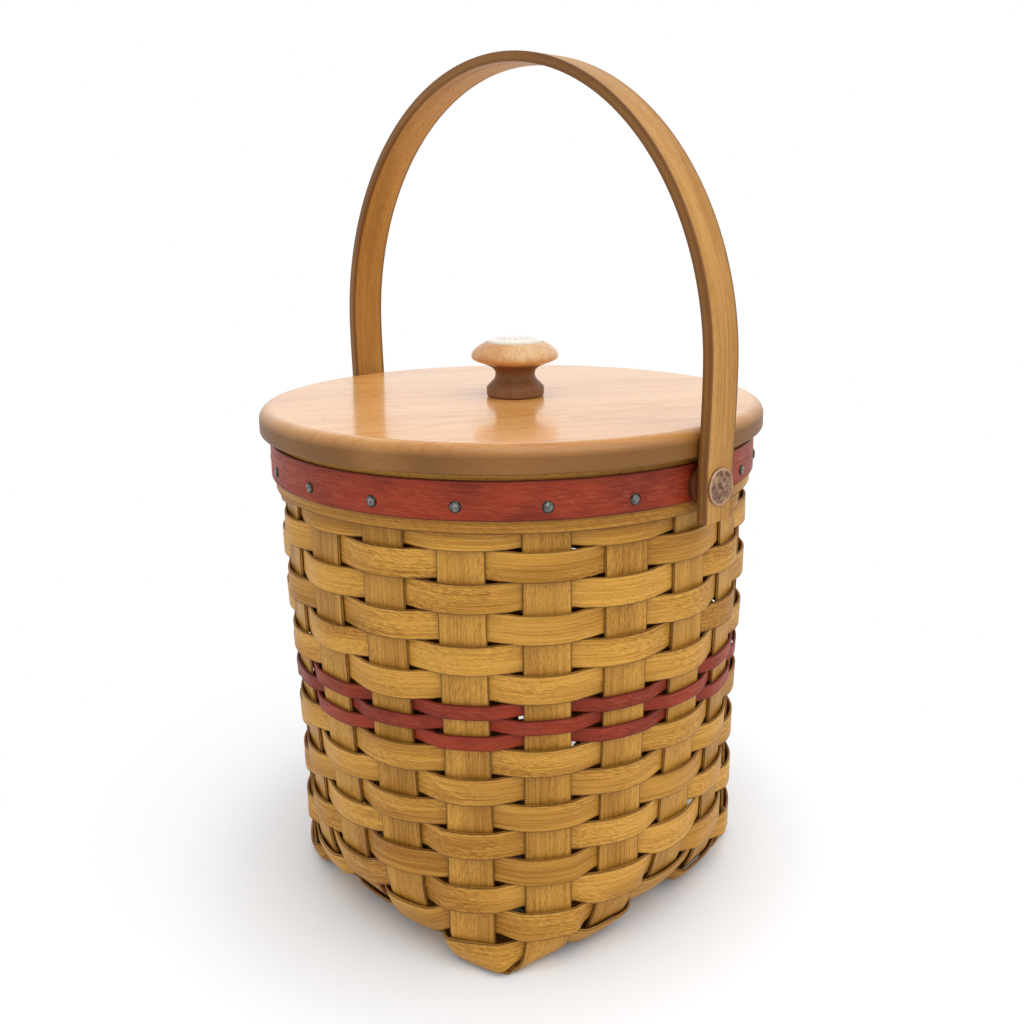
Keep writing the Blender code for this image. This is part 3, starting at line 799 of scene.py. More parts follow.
class StripMill:
    """Geometry Nodes that sweep a strip along a guide, and the strips that it makes."""

    GUIDE_LAYERS = ("middle", "half", "bow", "outward", "length", "exposed", "reach", "rise")
    CREST_FALL = 0.8
    GRAIN_RANGE = 3

    def __init__(self) -> None:
        """Builds the tree."""
        self.tree = bpy.data.node_groups.new("splint_strip", "GeometryNodeTree")
        inputs = (
            ("Guide", "Geometry"),
            ("Section", "Object"),
            ("Width", "Float"),
            ("Thickness", "Float"),
            ("Grain start", "Vector"),
            ("Finish", "Material"),
        )
        self.inputs = tree_sockets(self.tree, inputs, "Strip")
        self.build()

    def build(self) -> None:
        """Adds the tree's nodes."""
        bench = Bench(self.tree)
        given = bench.add("NodeGroupInput").outputs

        def layer(name: str, kind: str) -> Socket:
            """Value of one of the guide's or the section's layers."""
            node = bench.add("GeometryNodeInputNamedAttribute", {"Name": name}, data_type=kind)
            return node.outputs["Attribute"]

        section = bench.add("GeometryNodeObjectInfo", {"Object": given["Section"]})
        outline = bench.add("GeometryNodeMeshToCurve", {"Mesh": section.outputs["Geometry"]})
        path = bench.add("GeometryNodeMeshToCurve", {"Mesh": given["Guide"]})
        swept = bench.add(
            "GeometryNodeCurveToMesh",
            {"Curve": path.outputs[0], "Profile Curve": outline.outputs[0], "Fill Caps": True},
        )
        reach, rise = layer("reach", "FLOAT"), layer("rise", "FLOAT")
        squared = bench.maths("MULTIPLY", reach, reach)
        depth = bench.maths("MULTIPLY", rise, given["Thickness"])
        place = bench.vector("SCALE", layer("half", "FLOAT_VECTOR"), scale=reach)
        place = bench.vector("ADD", place, layer("middle", "FLOAT_VECTOR"))
        bow = bench.vector("SCALE", layer("bow", "FLOAT_VECTOR"), scale=squared)
        lift = bench.vector("SCALE", layer("outward", "FLOAT_VECTOR"), scale=depth)
        place = bench.vector("ADD", bench.vector("ADD", place, bow), lift)
        set_place = bench.add(
            "GeometryNodeSetPosition", {"Geometry": swept.outputs[0], "Position": place}
        )
        half_width = bench.maths("MULTIPLY", given["Width"], 0.5)
        across = bench.maths("MULTIPLY", reach, half_width)
        parts = {"X": layer("length", "FLOAT"), "Y": across, "Z": depth}
        grain = bench.add("ShaderNodeCombineXYZ", parts).outputs[0]
        grain = bench.vector("ADD", grain, given["Grain start"])
        stored = bench.add(
            "GeometryNodeStoreNamedAttribute",
            {"Geometry": set_place.outputs[0], "Name": "grain", "Value": grain},
            data_type="FLOAT_VECTOR",
        )
        facing = bench.maths("GREATER_THAN", rise, 0.0)
        central = bench.maths("MULTIPLY_ADD", squared, -self.CREST_FALL, 1.0)
        outer = bench.maths("MULTIPLY", facing, central)
        crest = bench.maths("MULTIPLY", outer, layer("exposed", "FLOAT"))
        crested = bench.add(
            "GeometryNodeStoreNamedAttribute",
            {"Geometry": stored.outputs[0], "Name": "crest", "Value": crest},
            data_type="FLOAT",
        )
        smooth = bench.add("GeometryNodeSetShadeSmooth", {0: crested.outputs[0]})
        real = bench.add("GeometryNodeRealizeInstances", {0: smooth.outputs[0]})
        dressed = bench.add(
            "GeometryNodeSetMaterial", {"Geometry": real.outputs[0], "Material": given["Finish"]}
        )
        bench.add("NodeGroupOutput", {0: dressed.outputs[0]})

    def section_object(self, section: Section) -> bpy.types.Object:
        """Closed outline of the section, as a helper object.

        Args:
            section: the section.

        Returns:
            The helper, which is removed once its strip is made.
        """
        points = section.points()
        count = len(points)
        mesh = bpy.data.meshes.new("section")
        links = [(number, (number + 1) % count) for number in range(count)]
        mesh.from_pydata([(x, rise, 0.0) for x, rise, _ in points], links, [])
        for place, name in enumerate(("reach", "rise", "edge")):
            layer = mesh.attributes.new(name, "FLOAT", "POINT")
            layer.data.foreach_set("value", [point[place] for point in points])
        return link(bpy.data.objects.new("section", mesh))

    def strip(
        self, name: str, guide: Guide, section: Section, finish: WoodFinish
    ) -> bpy.types.Object:
        """Sweeps one strip.

        Args:
            name: the new piece's name.
            guide: the stations that it passes.
            section: its cross section.
            finish: its finish.

        Returns:
            The piece, as a plain mesh at the origin.
        """
        helper = self.section_object(section)
        made = link(bpy.data.objects.new(name, guide.mesh(name)))
        draw = random.Random(name)
        values = {
            "Section": helper,
            "Width": section.width,
            "Thickness": section.thickness,
            "Grain start": tuple(draw.uniform(0, self.GRAIN_RANGE) for _ in range(3)),
            "Finish": finish.material(),
        }
        run_tree(made, self.tree, self.inputs, values)
        for layer in self.GUIDE_LAYERS:
            if layer in made.data.attributes:
                made.data.attributes.remove(made.data.attributes[layer])
        face_outwards(made.data)
        bpy.data.objects.remove(helper)
        return made


def tree_sockets(
    tree: bpy.types.NodeTree, inputs: Sequence[tuple[str, str]], result: str
) -> dict[str, str]:
    """Adds a tree's sockets.

    Args:
        tree: the tree.
        inputs: name and kind of each input.
        result: name of the geometry that it gives.

    Returns:
        Each input's identifier, by its name.
    """
    found = {}
    for name, kind in inputs:
        socket = tree.interface.new_socket(name, in_out="INPUT", socket_type=f"NodeSocket{kind}")
        found[name] = socket.identifier
    tree.interface.new_socket(result, in_out="OUTPUT", socket_type="NodeSocketGeometry")
    return found


def run_tree(
    made: bpy.types.Object, tree: bpy.types.NodeTree, inputs: dict[str, str], values: dict
) -> None:
    """Runs a tree on an object and keeps the result as its plain mesh.

    Args:
        made: the object.
        tree: the tree.
        inputs: each input's identifier, by its name.
        values: each input's value, by its name.
    """
    modifier = made.modifiers.new("maker", "NODES")
    modifier.node_group = tree
    for name, value in values.items():
        modifier[inputs[name]] = value
    bpy.context.view_layer.update()
    graph = bpy.context.evaluated_depsgraph_get()
    mesh = bpy.data.meshes.new_from_object(made.evaluated_get(graph))
    made.modifiers.clear()
    made.data = mesh


def face_outwards(mesh: bpy.types.Mesh) -> None:
    """Turns a closed mesh's faces outwards and marks its sharp edges.

    Args:
        mesh: the mesh.
    """
    shape = bmesh.new()
    shape.from_mesh(mesh)
    bmesh.ops.recalc_face_normals(shape, faces=shape.faces)
    shape.to_mesh(mesh)
    shape.free()
    mesh.set_sharp_from_angle(angle=SHARP_ANGLE)


def fine_curve(points: Profile, steps: int) -> list[tuple[float, ...]]:
    """Smooth curve through points, by the Catmull-Rom rule.

    Args:
        points: what it passes through.
        steps: how many steps each stretch gets.

    Returns:
        The points of the curve.
    """
    found = []
    last = len(points) - 1
    for number in range(last):
        before, start, end, after = (
            points[max(0, min(number + shift, last))] for shift in (-1, 0, 1, 2)
        )
        for step in range(steps):
            share = step / steps
            found.append(
                tuple(
                    0.5
                    * (
                        2 * b
                        + (c - a) * share
                        + (2 * a - 5 * b + 4 * c - d) * share**2
                        + (3 * b - a - 3 * c + d) * share**3
                    )
                    for a, b, c, d in zip(before, start, end, after)
                )
            )
    return found + [tuple(points[-1])]


def arc(middle: Point, radius: float, start: float, end: float, steps: int) -> list[Point]:
    """Points of an arc in a profile.

    Args:
        middle: its middle.
        radius: its radius.
        start: its first angle in degrees.
        end: its last angle in degrees.
        steps: how many steps it has.

    Returns:
        The points, one more than the steps.
    """
    angles = [math.radians(start + (end - start) * step / steps) for step in range(steps + 1)]
    x, z = middle
    return [(x + radius * math.cos(angle), z + radius * math.sin(angle)) for angle in angles]


def turned(
    name: str, profile: Profile, finish: Finish, facets: int = 96, bored: bool = False
) -> bpy.types.Object:
    """Piece turned about Z.

    Args:
        name: the new piece's name.
        profile: radius and height of each point down its outer side, and how dark its edge colour
            is there where a third value is given; on the lid and knob that colour is partly painted
            shade.
        finish: its finish.
        facets: how many facets it has.
        bored: whether the profile closes on itself, and not on the axis.

    Returns:
        The piece.
    """
    shape = bmesh.new()
    edge = shape.verts.layers.float.new("edge")
    rings = []
    for radius, height, *dark in profile:
        count = facets if radius > 0 else 1
        ring = []
        for facet in range(count):
            angle = FULL_TURN * facet / facets
            vertex = shape.verts.new((radius * math.cos(angle), radius * math.sin(angle), height))
            vertex[edge] = dark[0] if dark else 0.0
            ring.append(vertex)
        rings.append(ring)
    pairs = list(zip(rings, rings[1:]))
    if bored:
        pairs.append((rings[-1], rings[0]))
    for upper, lower in pairs:
        for facet in range(facets):
            after = (facet + 1) % facets
            corners = [upper[facet % len(upper)], lower[facet % len(lower)]]
            corners += [lower[after % len(lower)], upper[after % len(upper)]]
            shape.faces.new(list(dict.fromkeys(corners)))
    for side in shape.faces:
        side.smooth = True
    mesh = bpy.data.meshes.new(name)
    shape.to_mesh(mesh)
    shape.free()
    face_outwards(mesh)
    mesh.materials.append(finish.material())
    return link(bpy.data.objects.new(name, mesh))


def lay_outwards(made: bpy.types.Object, angle: float, radius: float, height: float) -> None:
    """Lays a turned piece's mesh on a radius of the basket, its Z pointing outwards.

    Args:
        made: the piece.
        angle: the radius's angle about Z.
        radius: how far out the piece's origin comes.
        height: how high it comes.
    """
    made.data.transform(
        Matrix.Translation((radius * math.cos(angle), radius * math.sin(angle), height))
        @ Matrix.Rotation(angle, 4, "Z")
        @ Matrix.Rotation(math.pi / 2, 4, "Y")
    )


def fit(piece: bpy.types.Object, body: Body, slot: str, *nodes: str) -> None:
    """Fits a finished piece to the frame.

    Args:
        piece: the piece.
        body: the body that it moves with.
        slot: name of the finish that it takes; not used.
        nodes: the frame's nodes that it stands for.
    """
    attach(piece, body.value)
    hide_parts(*nodes)
    LOG.info("%s: %d faces, on the %s", piece.name, len(piece.data.polygons), body.value)


@dataclass(frozen=True)
class Wall:
    """The surface that the uprights follow from the mat's edge to the rim."""

    stakes_each_way: int = 5
    stake_width: float = 0.019
    stake_thickness: float = 0.0012
    mat_arch: float = 0.0055
    arch_falls: tuple[float, ...] = (0.0, 0.6, 1.0)
    corner_run: float = 0.0046
    radius: float = 0.1
    rim_flare: float = 0.0038
    waist_height: float = 0.06
    flare_top: float = 0.17
    side_inset: float = 0.005
    side_inset_height: float = 0.11
    side_lift: float = 0.0045
    side_lift_height: float = 0.08
    bend_rise: float = 2.0
    weaver_thickness: float = 0.001
    weave_gap: float = 0.0003
    weaver_turn: float = 0.001
    foot_slack: float = 0.0007
    foot_slack_height: float = 0.052
    stake_top: float = 0.2105

    @property
    def uprights(self) -> int:
        """How many uprights the wall has."""
        return 4 * self.stakes_each_way

    @property
    def reach(self) -> int:
        """Number of the outermost stake, counted from the middle one."""
        return self.stakes_each_way // 2

    @property
    def half_span(self) -> float:
        """Half of the length over which a strip lies flat on a stake."""
        return self.stake_width / 2 + self.weaver_turn

    @property
    def pitch(self) -> float:
        """Distance between the middles of neighbouring stakes in the mat.

        Returns:
            The distance, at which the mat's four corners come under the round wall.
        """
        corner = self.radius - self.corner_run
        diagonal = math.sqrt(2 * corner**2 - self.half_span**2)
        return (diagonal - self.half_span) / (2 * self.reach)

    @property
    def mat_edge(self) -> float:
        """Distance of the mat's edge from its middle."""
        return self.reach * self.pitch + self.half_span

    @property
    def level_step(self) -> float:
        """How far a stake lies above or below the mat's middle level."""
        return (self.stake_thickness + self.weave_gap) / 2

    def offset(self, height: float) -> float:
        """How far a weaver's middle lies from an upright's."""
        clear = self.stake_thickness / 2 + self.weave_gap + self.weaver_thickness / 2
        return clear + self.foot_slack * (1 - smooth_step(height / self.foot_slack_height))

    def mat_level(self, column: int, row: int, along_x: bool) -> float:
        """Height of a stake's middle at one crossing of the mat.

        Args:
            column: the crossing's number along the stake.
            row: the stake's own number.
            along_x: whether the stake runs along X.

        Returns:
            The height.
        """
        fall = self.arch_falls[abs(column)] * self.arch_falls[abs(row)]
        middle = self.stake_thickness / 2 + self.level_step + self.mat_arch * (1 - fall)
        over = along_x == ((column + row) % 2 == 0)
        return middle + (self.level_step if over else -self.level_step)


class Upright:
    """One end of a stake: its bend out of the mat and its run up the wall.

    Uprights are numbered round the basket from the middle of the +X side.
    """

    SLOPE_STEP = 0.00001
    SETTLING_STEPS = 4

    def __init__(self, wall: Wall, number: int) -> None:
        """Works out where the upright stands.

        Args:
            wall: the wall that it is in.
            number: its number round the basket.
        """
        self.wall = wall
        self.number = number % wall.uprights
        side = ((self.number + wall.reach) // wall.stakes_each_way) % 4
        place = self.number - side * wall.stakes_each_way
        self.place = place - wall.uprights if place > wall.reach else place
        self.angle = self.number * FULL_TURN / wall.uprights
        facing = side * math.pi / 2
        outward = Vector((math.cos(facing), math.sin(facing), 0.0))
        self.sideways = Vector((-math.sin(facing), math.cos(facing), 0.0))
        self.radial = Vector((math.cos(self.angle), math.sin(self.angle), 0.0))
        self.tangent = Vector((-math.sin(self.angle), math.cos(self.angle), 0.0))
        self.flatness = math.cos(2 * self.angle) ** 2
        self.start = outward * wall.mat_edge + self.sideways * self.place * wall.pitch
        self.start.z = wall.mat_level(wall.reach, self.place, side % 2 == 0)
        run = (self.radial * wall.radius - self.start).xy.length - wall.side_inset * self.flatness
        self.rise = run * wall.bend_rise
        self.bend_top = self.start.z + self.rise
        self.bend_length = math.pi / 2 * math.sqrt((run**2 + self.rise**2) / 2)
        self.bend_height = self.bend_top
        for _ in range(self.SETTLING_STEPS):
            self.bend_height = self.bend_top - self.lift(self.bend_height)

    def lift(self, height: float) -> float:
        """How far the rows are pushed up here by the arch of the base."""
        left = max(0.0, 1 - height / self.wall.side_lift_height)
        return self.wall.side_lift * self.flatness * left * left

    def on_wall(self, level: float) -> Vector:
        """Point of the upright's middle surface on the wall.

        Args:
            level: its height above the table.

        Returns:
            The point.
        """
        wall = self.wall
        flare_share = (level - wall.waist_height) / (wall.flare_top - wall.waist_height)
        flare = wall.rim_flare * smooth_step(flare_share)
        inset = wall.side_inset * self.flatness * (1 - smooth_step(level / wall.side_inset_height))
        point = self.radial * (wall.radius + flare - inset)
        point.z = level
        return point

    def centre(self, height: float) -> Vector:
        """Middle of the upright.

        Args:
            height: the height, measured along the wall.

        Returns:
            The point.
        """
        if height >= self.bend_height:
            return self.on_wall(height + self.lift(height))
        angle = self.bend_share(height) * math.pi / 2
        point = self.start.lerp(self.on_wall(self.bend_top), math.sin(angle))
        point.z = self.start.z + self.rise * (1 - math.cos(angle))
        return point

    def bend_share(self, height: float) -> float:
        """How much of the bend lies below this height."""
        return max(0.0, 1 - (self.bend_height - height) / self.bend_length)

    def across(self, height: float) -> Vector:
        """Direction of the upright's width."""
        share = self.bend_share(height) if height < self.bend_height else 1.0
        return self.sideways.lerp(self.tangent, share).normalized()

    def facing(self, height: float) -> Vector:
        """Direction square to the upright's face, outwards."""
        upward = self.centre(height + self.SLOPE_STEP) - self.centre(height - self.SLOPE_STEP)
        return self.across(height).cross(upward).normalized()


@dataclass
class Stakes:
    """The ten strips that make the base mat and both ends of the uprights."""

    wall: Wall
    mill: StripMill
    bend_steps: int = 16
    wall_steps: int = 30
    crossing_steps: int = 6
    width_play: float = 0.012
    play_reach: float = 0.12

    def upright_stations(self, upright: Upright) -> list[tuple[Vector, Vector]]:
        """Stations of an upright, from the mat's edge to its top.

        Args:
            upright: the upright.

        Returns:
            For each station the strip's middle and the direction of its width.
        """
        heights = [
            upright.bend_height - upright.bend_length * (1 - step / self.bend_steps)
            for step in range(1, self.bend_steps)
        ]
        step_up = (self.wall.stake_top - upright.bend_height) / self.wall_steps
        heights += [upright.bend_height + step_up * step for step in range(self.wall_steps + 1)]
        return [(upright.centre(height), upright.across(height)) for height in heights]

    def mat_stations(self, place: int, along_x: bool) -> list[tuple[Vector, Vector]]:
        """Stations of a stake across the mat.

        Args:
            place: the stake's number, counted from the middle one.
            along_x: whether it runs along X.

        Returns:
            For each station the strip's middle and the direction of its width.
        """
        wall = self.wall
        if along_x:
            run, side, across = Vector((1.0, 0.0, 0.0)), Vector((0.0, 1.0, 0.0)), place
        else:
            run, side, across = Vector((0.0, 1.0, 0.0)), Vector((-1.0, 0.0, 0.0)), -place
        found = []
        for column in range(-wall.reach, wall.reach + 1):
            level = wall.mat_level(column, place, along_x)
            for end in (-wall.half_span, 0.0, wall.half_span):
                middle = run * (column * wall.pitch + end) + side * across * wall.pitch
                found.append((middle + Vector((0.0, 0.0, level)), side))
            if column == wall.reach:
                break
            after = wall.mat_level(column + 1, place, along_x)
            free = wall.pitch - 2 * wall.half_span
            for step in range(1, self.crossing_steps):
                share = step / self.crossing_steps
                middle = run * (column * wall.pitch + wall.half_span + free * share)
                middle += side * across * wall.pitch
                middle.z = level + (after - level) * smooth_step(share)
                found.append((middle, side))
        return found

    def guide(self, name: str, place: int, along_x: bool) -> Guide:
        """The whole path of one stake: down one wall, across the mat and up the other.

        Args:
            name: name that fixes the play in its width.
            place: the stake's number, counted from the middle one.
            along_x: whether it runs along X.

        Returns:
            The guide.
        """
        wall = self.wall
        ends = (2 * wall.stakes_each_way - place, place)
        if not along_x:
            ends = (3 * wall.stakes_each_way + place, wall.stakes_each_way - place)
        near, far = (self.upright_stations(Upright(wall, number)) for number in ends)
        stations = [(middle, -across) for middle, across in reversed(near)]
        stations += self.mat_stations(place, along_x) + far
        wander = drift(name, self.play_reach)
        guide, along = Guide(), 0.0
        for number, (middle, across) in enumerate(stations):
            if number:
                along += (middle - stations[number - 1][0]).length
            narrowing = 1 - self.width_play * (0.5 + 0.5 * wander(along))
            guide.add(middle, -across * (wall.stake_width / 2 * narrowing))
        return guide

    def build(self) -> None:
        """Makes, dresses and fits the stakes."""
        section = Section(self.wall.stake_width, self.wall.stake_thickness)
        for place in range(-self.wall.reach, self.wall.reach + 1):
            for way in ("x", "y"):
                node = f"stake_{way}_{place + self.wall.reach + 1}"
                guide = self.guide(node, place, way == "x")
                made = self.mill.strip(f"{node}_splint", guide, section, STAKE_SPLINT)
                fit(made, Body.BASKET, "stake_splint", node)


@dataclass(frozen=True)
class Row:
    """One row of the weave: its heights, and whether it passes outside the first upright."""

    node: str
    bottom: float
    top: float
    outside_first: bool
    finish: WoodFinish
    slot: str
    loose: float = 1.0


@dataclass
class Weave:
    """The rows that go round the uprights, in front of one and behind the next."""

    wall: Wall
    mill: StripMill
    foot: float = 0.0044
    row_gap: float = 0.0003
    foot_row_gap: float = 0.0012
    wide_pitch: float = 0.012
    wide_rows_below: int = 8
    accent_pitch: float = 0.0065
    accent_rows: int = 3
    upper_pitch: float = 0.0125
    wide_rows_above: int = 6
    filler_width: float = 0.0053
    outward_bulge: float = 0.11
    inward_bulge: float = 0.02
    foot_bulge_height: float = 0.05
    foot_bulge_share: float = 0.2
    bulge_fade_start: float = 0.1815
    bulge_fade: float = 0.012
    least_sway: float = 0.0001
    most_sway: float = 0.0005
    sway_start: float = 0.45
    seam_gap: float = 0.0003
    seam_uprights: tuple[int, int] = (8, 7)
    width_play: float = 0.008
    play_reach: float = 0.3
    span_steps: int = 6
    turn_steps: int = 8
    turn_tension: float = 1.05

    @cached_property
    def uprights(self) -> list[Upright]:
        """The twenty uprights."""
        return [Upright(self.wall, number) for number in range(self.wall.uprights)]

    def rows(self) -> list[Row]:
        """All the rows, from the foot up.

        Returns:
            The rows, in the order in which they are woven.
        """
        plain, red = (WEAVER_SPLINT, "weaver_splint"), (RED_SPLINT, "red_splint")
        wide_rows = self.wide_rows_below + self.wide_rows_above
        wide = [f"weaver_{number:02d}" for number in range(1, wide_rows + 1)]
        accents = [f"accent_weaver_{number}" for number in range(1, self.accent_rows + 1)]
        stretches = (
            (wide[: self.wide_rows_below], self.wide_pitch, plain),
            (accents, self.accent_pitch, red),
            (wide[self.wide_rows_below :], self.upper_pitch, plain),
        )
        found: list[Row] = []
        bottom = self.foot
        for names, pitch, dress in stretches:
            for step, name in enumerate(names):
                gap = self.row_gap if found else self.foot_row_gap
                low, high = bottom + step * pitch, bottom + (step + 1) * pitch - gap
                found.append(Row(name, low, high, len(found) % 2 == 1, *dress))
            bottom += len(names) * pitch
        top = self.wall.stake_top
        outside_first = len(found) % 2 == 1
        low = top - self.filler_width
        found.append(Row("rim_filler_weaver", low, top, outside_first, *plain, loose=0.0))
        return found

    def line(self, row: Row, height: float) -> list[tuple[Vector, float]]:
        """Path of the row at one height.

        Args:
            row: the row.
            height: the height along the wall.

        Returns:
            Each point, and how far outside (1) or inside (-1) it is.
        """
        half = self.wall.stake_width / 2
        foot_share = self.foot_bulge_share
        room = foot_share + (1 - foot_share) * smooth_step(height / self.foot_bulge_height)
        room *= 1 - smooth_step((height - self.bulge_fade_start) / self.bulge_fade)
        room *= row.top - row.bottom
        spans = []
        for upright in self.uprights:
            face = Face.OUTSIDE if (upright.number % 2 == 0) == row.outside_first else Face.INSIDE
            bulge = room * (self.outward_bulge if face is Face.OUTSIDE else self.inward_bulge)
            centre, across = upright.centre(height), upright.across(height)
            facing = upright.facing(height) * face.value
            offset = self.wall.offset(height)
            span = []
            for step in range(self.span_steps + 1):
                share = 2 * step / self.span_steps - 1
                depth = offset + bulge * (1 - share**2)
                span.append(centre + across * half * share + facing * depth)
            slope = facing * (2 * bulge / half)
            spans.append((span, across + slope, across - slope, face.value))
        found = []
        for number, (span, _, leaving, side) in enumerate(spans):
            found += [(point, float(side)) for point in span]
            after, entering, _, _ = spans[(number + 1) % len(spans)]
            start, end = span[-1], after[0]
            pull = (end - start).length * self.turn_tension
            for step in range(1, self.turn_steps):
                share = step / self.turn_steps
                back = 1 - share
                point = (
                    start * (back * back * (1 + 2 * share))
                    + leaving * (pull * share * back * back)
                    + end * (share * share * (1 + 2 * back))
                    - entering * (pull * share * share * back)
                )
                found.append((point, side * (1 - 2 * smooth_step(share))))
        return found

    def guide(self, row: Row) -> Guide:
        """The whole path of one row, open behind an upright at the back.

        Args:
            row: the row.

        Returns:
            The guide.
        """
        heights = (row.bottom, (row.bottom + row.top) / 2, row.top)
        low, mid, high = (self.line(row, height) for height in heights)
        per_upright = self.span_steps + self.turn_steps
        start = self.seam_uprights[row.outside_first] * per_upright + self.span_steps // 2
        count = len(mid)
        draw = random.Random(row.node)
        places = range(self.wall.uprights + 1)
        sways = [draw.uniform(self.least_sway, self.most_sway) for _ in places]
        wander = drift(row.node, self.play_reach)
        guide, along = Guide(), 0.0
        for step in range(count + 1):
            number = (start + step) % count
            middle, side = mid[number]
            half = (high[number][0] - low[number][0]) / 2
            bow = (high[number][0] + low[number][0]) / 2 - middle
            upright = ((number + self.turn_steps // 2) // per_upright) % self.wall.uprights
            free = smooth_step((abs(side) - self.sway_start) / (1 - self.sway_start))
            shift = math.copysign(sways[upright], -side) * free * row.loose
            narrowing = 1 - self.width_play * row.loose * (0.5 + 0.5 * wander(along))
            middle = middle + half.normalized() * shift
            if step in (0, count):
                nearby = mid[(number + (1 if step == 0 else -1)) % count][0]
                middle = middle.lerp(nearby, self.seam_gap / (nearby - middle).length / 2)
            if guide.middles:
                along += (middle - guide.middles[-1]).length
            guide.add(middle, half * narrowing, bow, max(0.0, side))
        return guide

    def build(self) -> None:
        """Makes, dresses and fits the rows."""
        for row in self.rows():
            section = Section(row.top - row.bottom, self.wall.weaver_thickness)
            made = self.mill.strip(f"{row.node}_splint", self.guide(row), section, row.finish)
            fit(made, Body.BASKET, row.slot, row.node)


class NailRing:
    """Geometry Nodes that set a ring of nails, leaving out the places of the two rivets."""

    SEED = 11
    PLAY_WAYS = (1.0, 1.0, 4.0)
    TILT = 0.05

    def __init__(self) -> None:
        """Builds the tree."""
        self.tree = bpy.data.node_groups.new("nail_ring", "GeometryNodeTree")
        inputs = (
            ("Nail", "Object"),
            ("Places", "Int"),
            ("Rivet every", "Int"),
            ("Radius", "Float"),
            ("Height", "Float"),
            ("Play", "Float"),
            ("Seed", "Int"),
            ("Finish", "Material"),
        )
        self.inputs = tree_sockets(self.tree, inputs, "Nails")
        self.build()

    def build(self) -> None:
        """Adds the tree's nodes."""
        bench = Bench(self.tree)
        given = bench.add("NodeGroupInput").outputs
        circle = {"Vertices": given["Places"], "Radius": given["Radius"]}
        ring = bench.add("GeometryNodeMeshCircle", circle)
        index = bench.add("GeometryNodeInputIndex").outputs[0]
        at_rivet = bench.maths("LESS_THAN", bench.maths("MODULO", index, given["Rivet every"]), 0.5)
        nailed = bench.add(
            "GeometryNodeDeleteGeometry",
            {"Geometry": ring.outputs[0], "Selection": at_rivet},
            domain="POINT",
        )
        place = bench.add("GeometryNodeInputPosition").outputs[0]
        outward = bench.vector("MULTIPLY", place, FLAT)
        most = bench.vector("SCALE", self.PLAY_WAYS, scale=given["Play"])
        least = bench.vector("SCALE", tuple(-way for way in self.PLAY_WAYS), scale=given["Play"])
        depth = bench.add(
            "FunctionNodeRandomValue",
            {"Min": least, "Max": most, "Seed": given["Seed"]},
            data_type="FLOAT_VECTOR",
        )
        raised = bench.add("ShaderNodeCombineXYZ", {"Z": given["Height"]}).outputs[0]
        shift = bench.vector("ADD", raised, depth.outputs[0])
        set_place = bench.add(
            "GeometryNodeSetPosition", {"Geometry": nailed.outputs[0], "Offset": shift}
        )
        nail = bench.add("GeometryNodeObjectInfo", {"Object": given["Nail"]})
        aim = bench.add("FunctionNodeAlignRotationToVector", {"Vector": outward}, axis="Z")
        most_roll = (self.TILT, self.TILT, math.pi)
        least_roll = tuple(-turn for turn in most_roll)
        roll = bench.add(
            "FunctionNodeRandomValue",
            {"Min": least_roll, "Max": most_roll, "Seed": given["Seed"]},
            data_type="FLOAT_VECTOR",
        )
        turn = bench.add("FunctionNodeEulerToRotation", {0: roll.outputs[0]})
        rolled = bench.add(
            "FunctionNodeRotateRotation",
            {"Rotation": aim.outputs[0], "Rotate By": turn.outputs[0]},
            rotation_space="LOCAL",
        )
        stood = bench.add(
            "GeometryNodeInstanceOnPoints",
            {
                "Points": set_place.outputs[0],
                "Instance": nail.outputs["Geometry"],
                "Rotation": rolled.outputs[0],
            },
        )
        real = bench.add("GeometryNodeRealizeInstances", {0: stood.outputs[0]})
        dressed = bench.add(
            "GeometryNodeSetMaterial", {"Geometry": real.outputs[0], "Material": given["Finish"]}
        )
        bench.add("NodeGroupOutput", {0: dressed.outputs[0]})

    def nails(
        self, nail: bpy.types.Object, places: int, radius: float, height: float, play: float
    ) -> bpy.types.Object:
        """Sets the nails.

        Args:
            nail: one nail, with its head's seat at the origin and pointing up.
            places: how many places the ring has, the rivets' among them.
            radius: the ring's radius at the heads' seats.
            height: the ring's height.
            play: how unevenly they are driven.

        Returns:
            All the nails, as one plain mesh.
        """
        made = link(bpy.data.objects.new("rim_nails", bpy.data.meshes.new("rim_nails")))
        values = {
            "Nail": nail,
            "Places": places,
            "Rivet every": places // 2,
            "Radius": radius,
            "Height": height,
            "Play": play,
            "Seed": self.SEED,
            "Finish": STEEL.material(),
        }
        run_tree(made, self.tree, self.inputs, values)
        bpy.data.objects.remove(nail)
        return made


@dataclass(frozen=True)
class Hoop:
    """One bent strip of the rim, with the angle in degrees of the place where its ends meet."""

    node: str
    inner: float
    thickness: float
    width: float
    top: float
    seam: float
    finish: WoodFinish = RIM_WOOD
    slot: str = "rim_wood"
    play: float = 0.0

    @property
    def face(self) -> float:
        """Radius of its outer face."""
        return self.inner + self.thickness


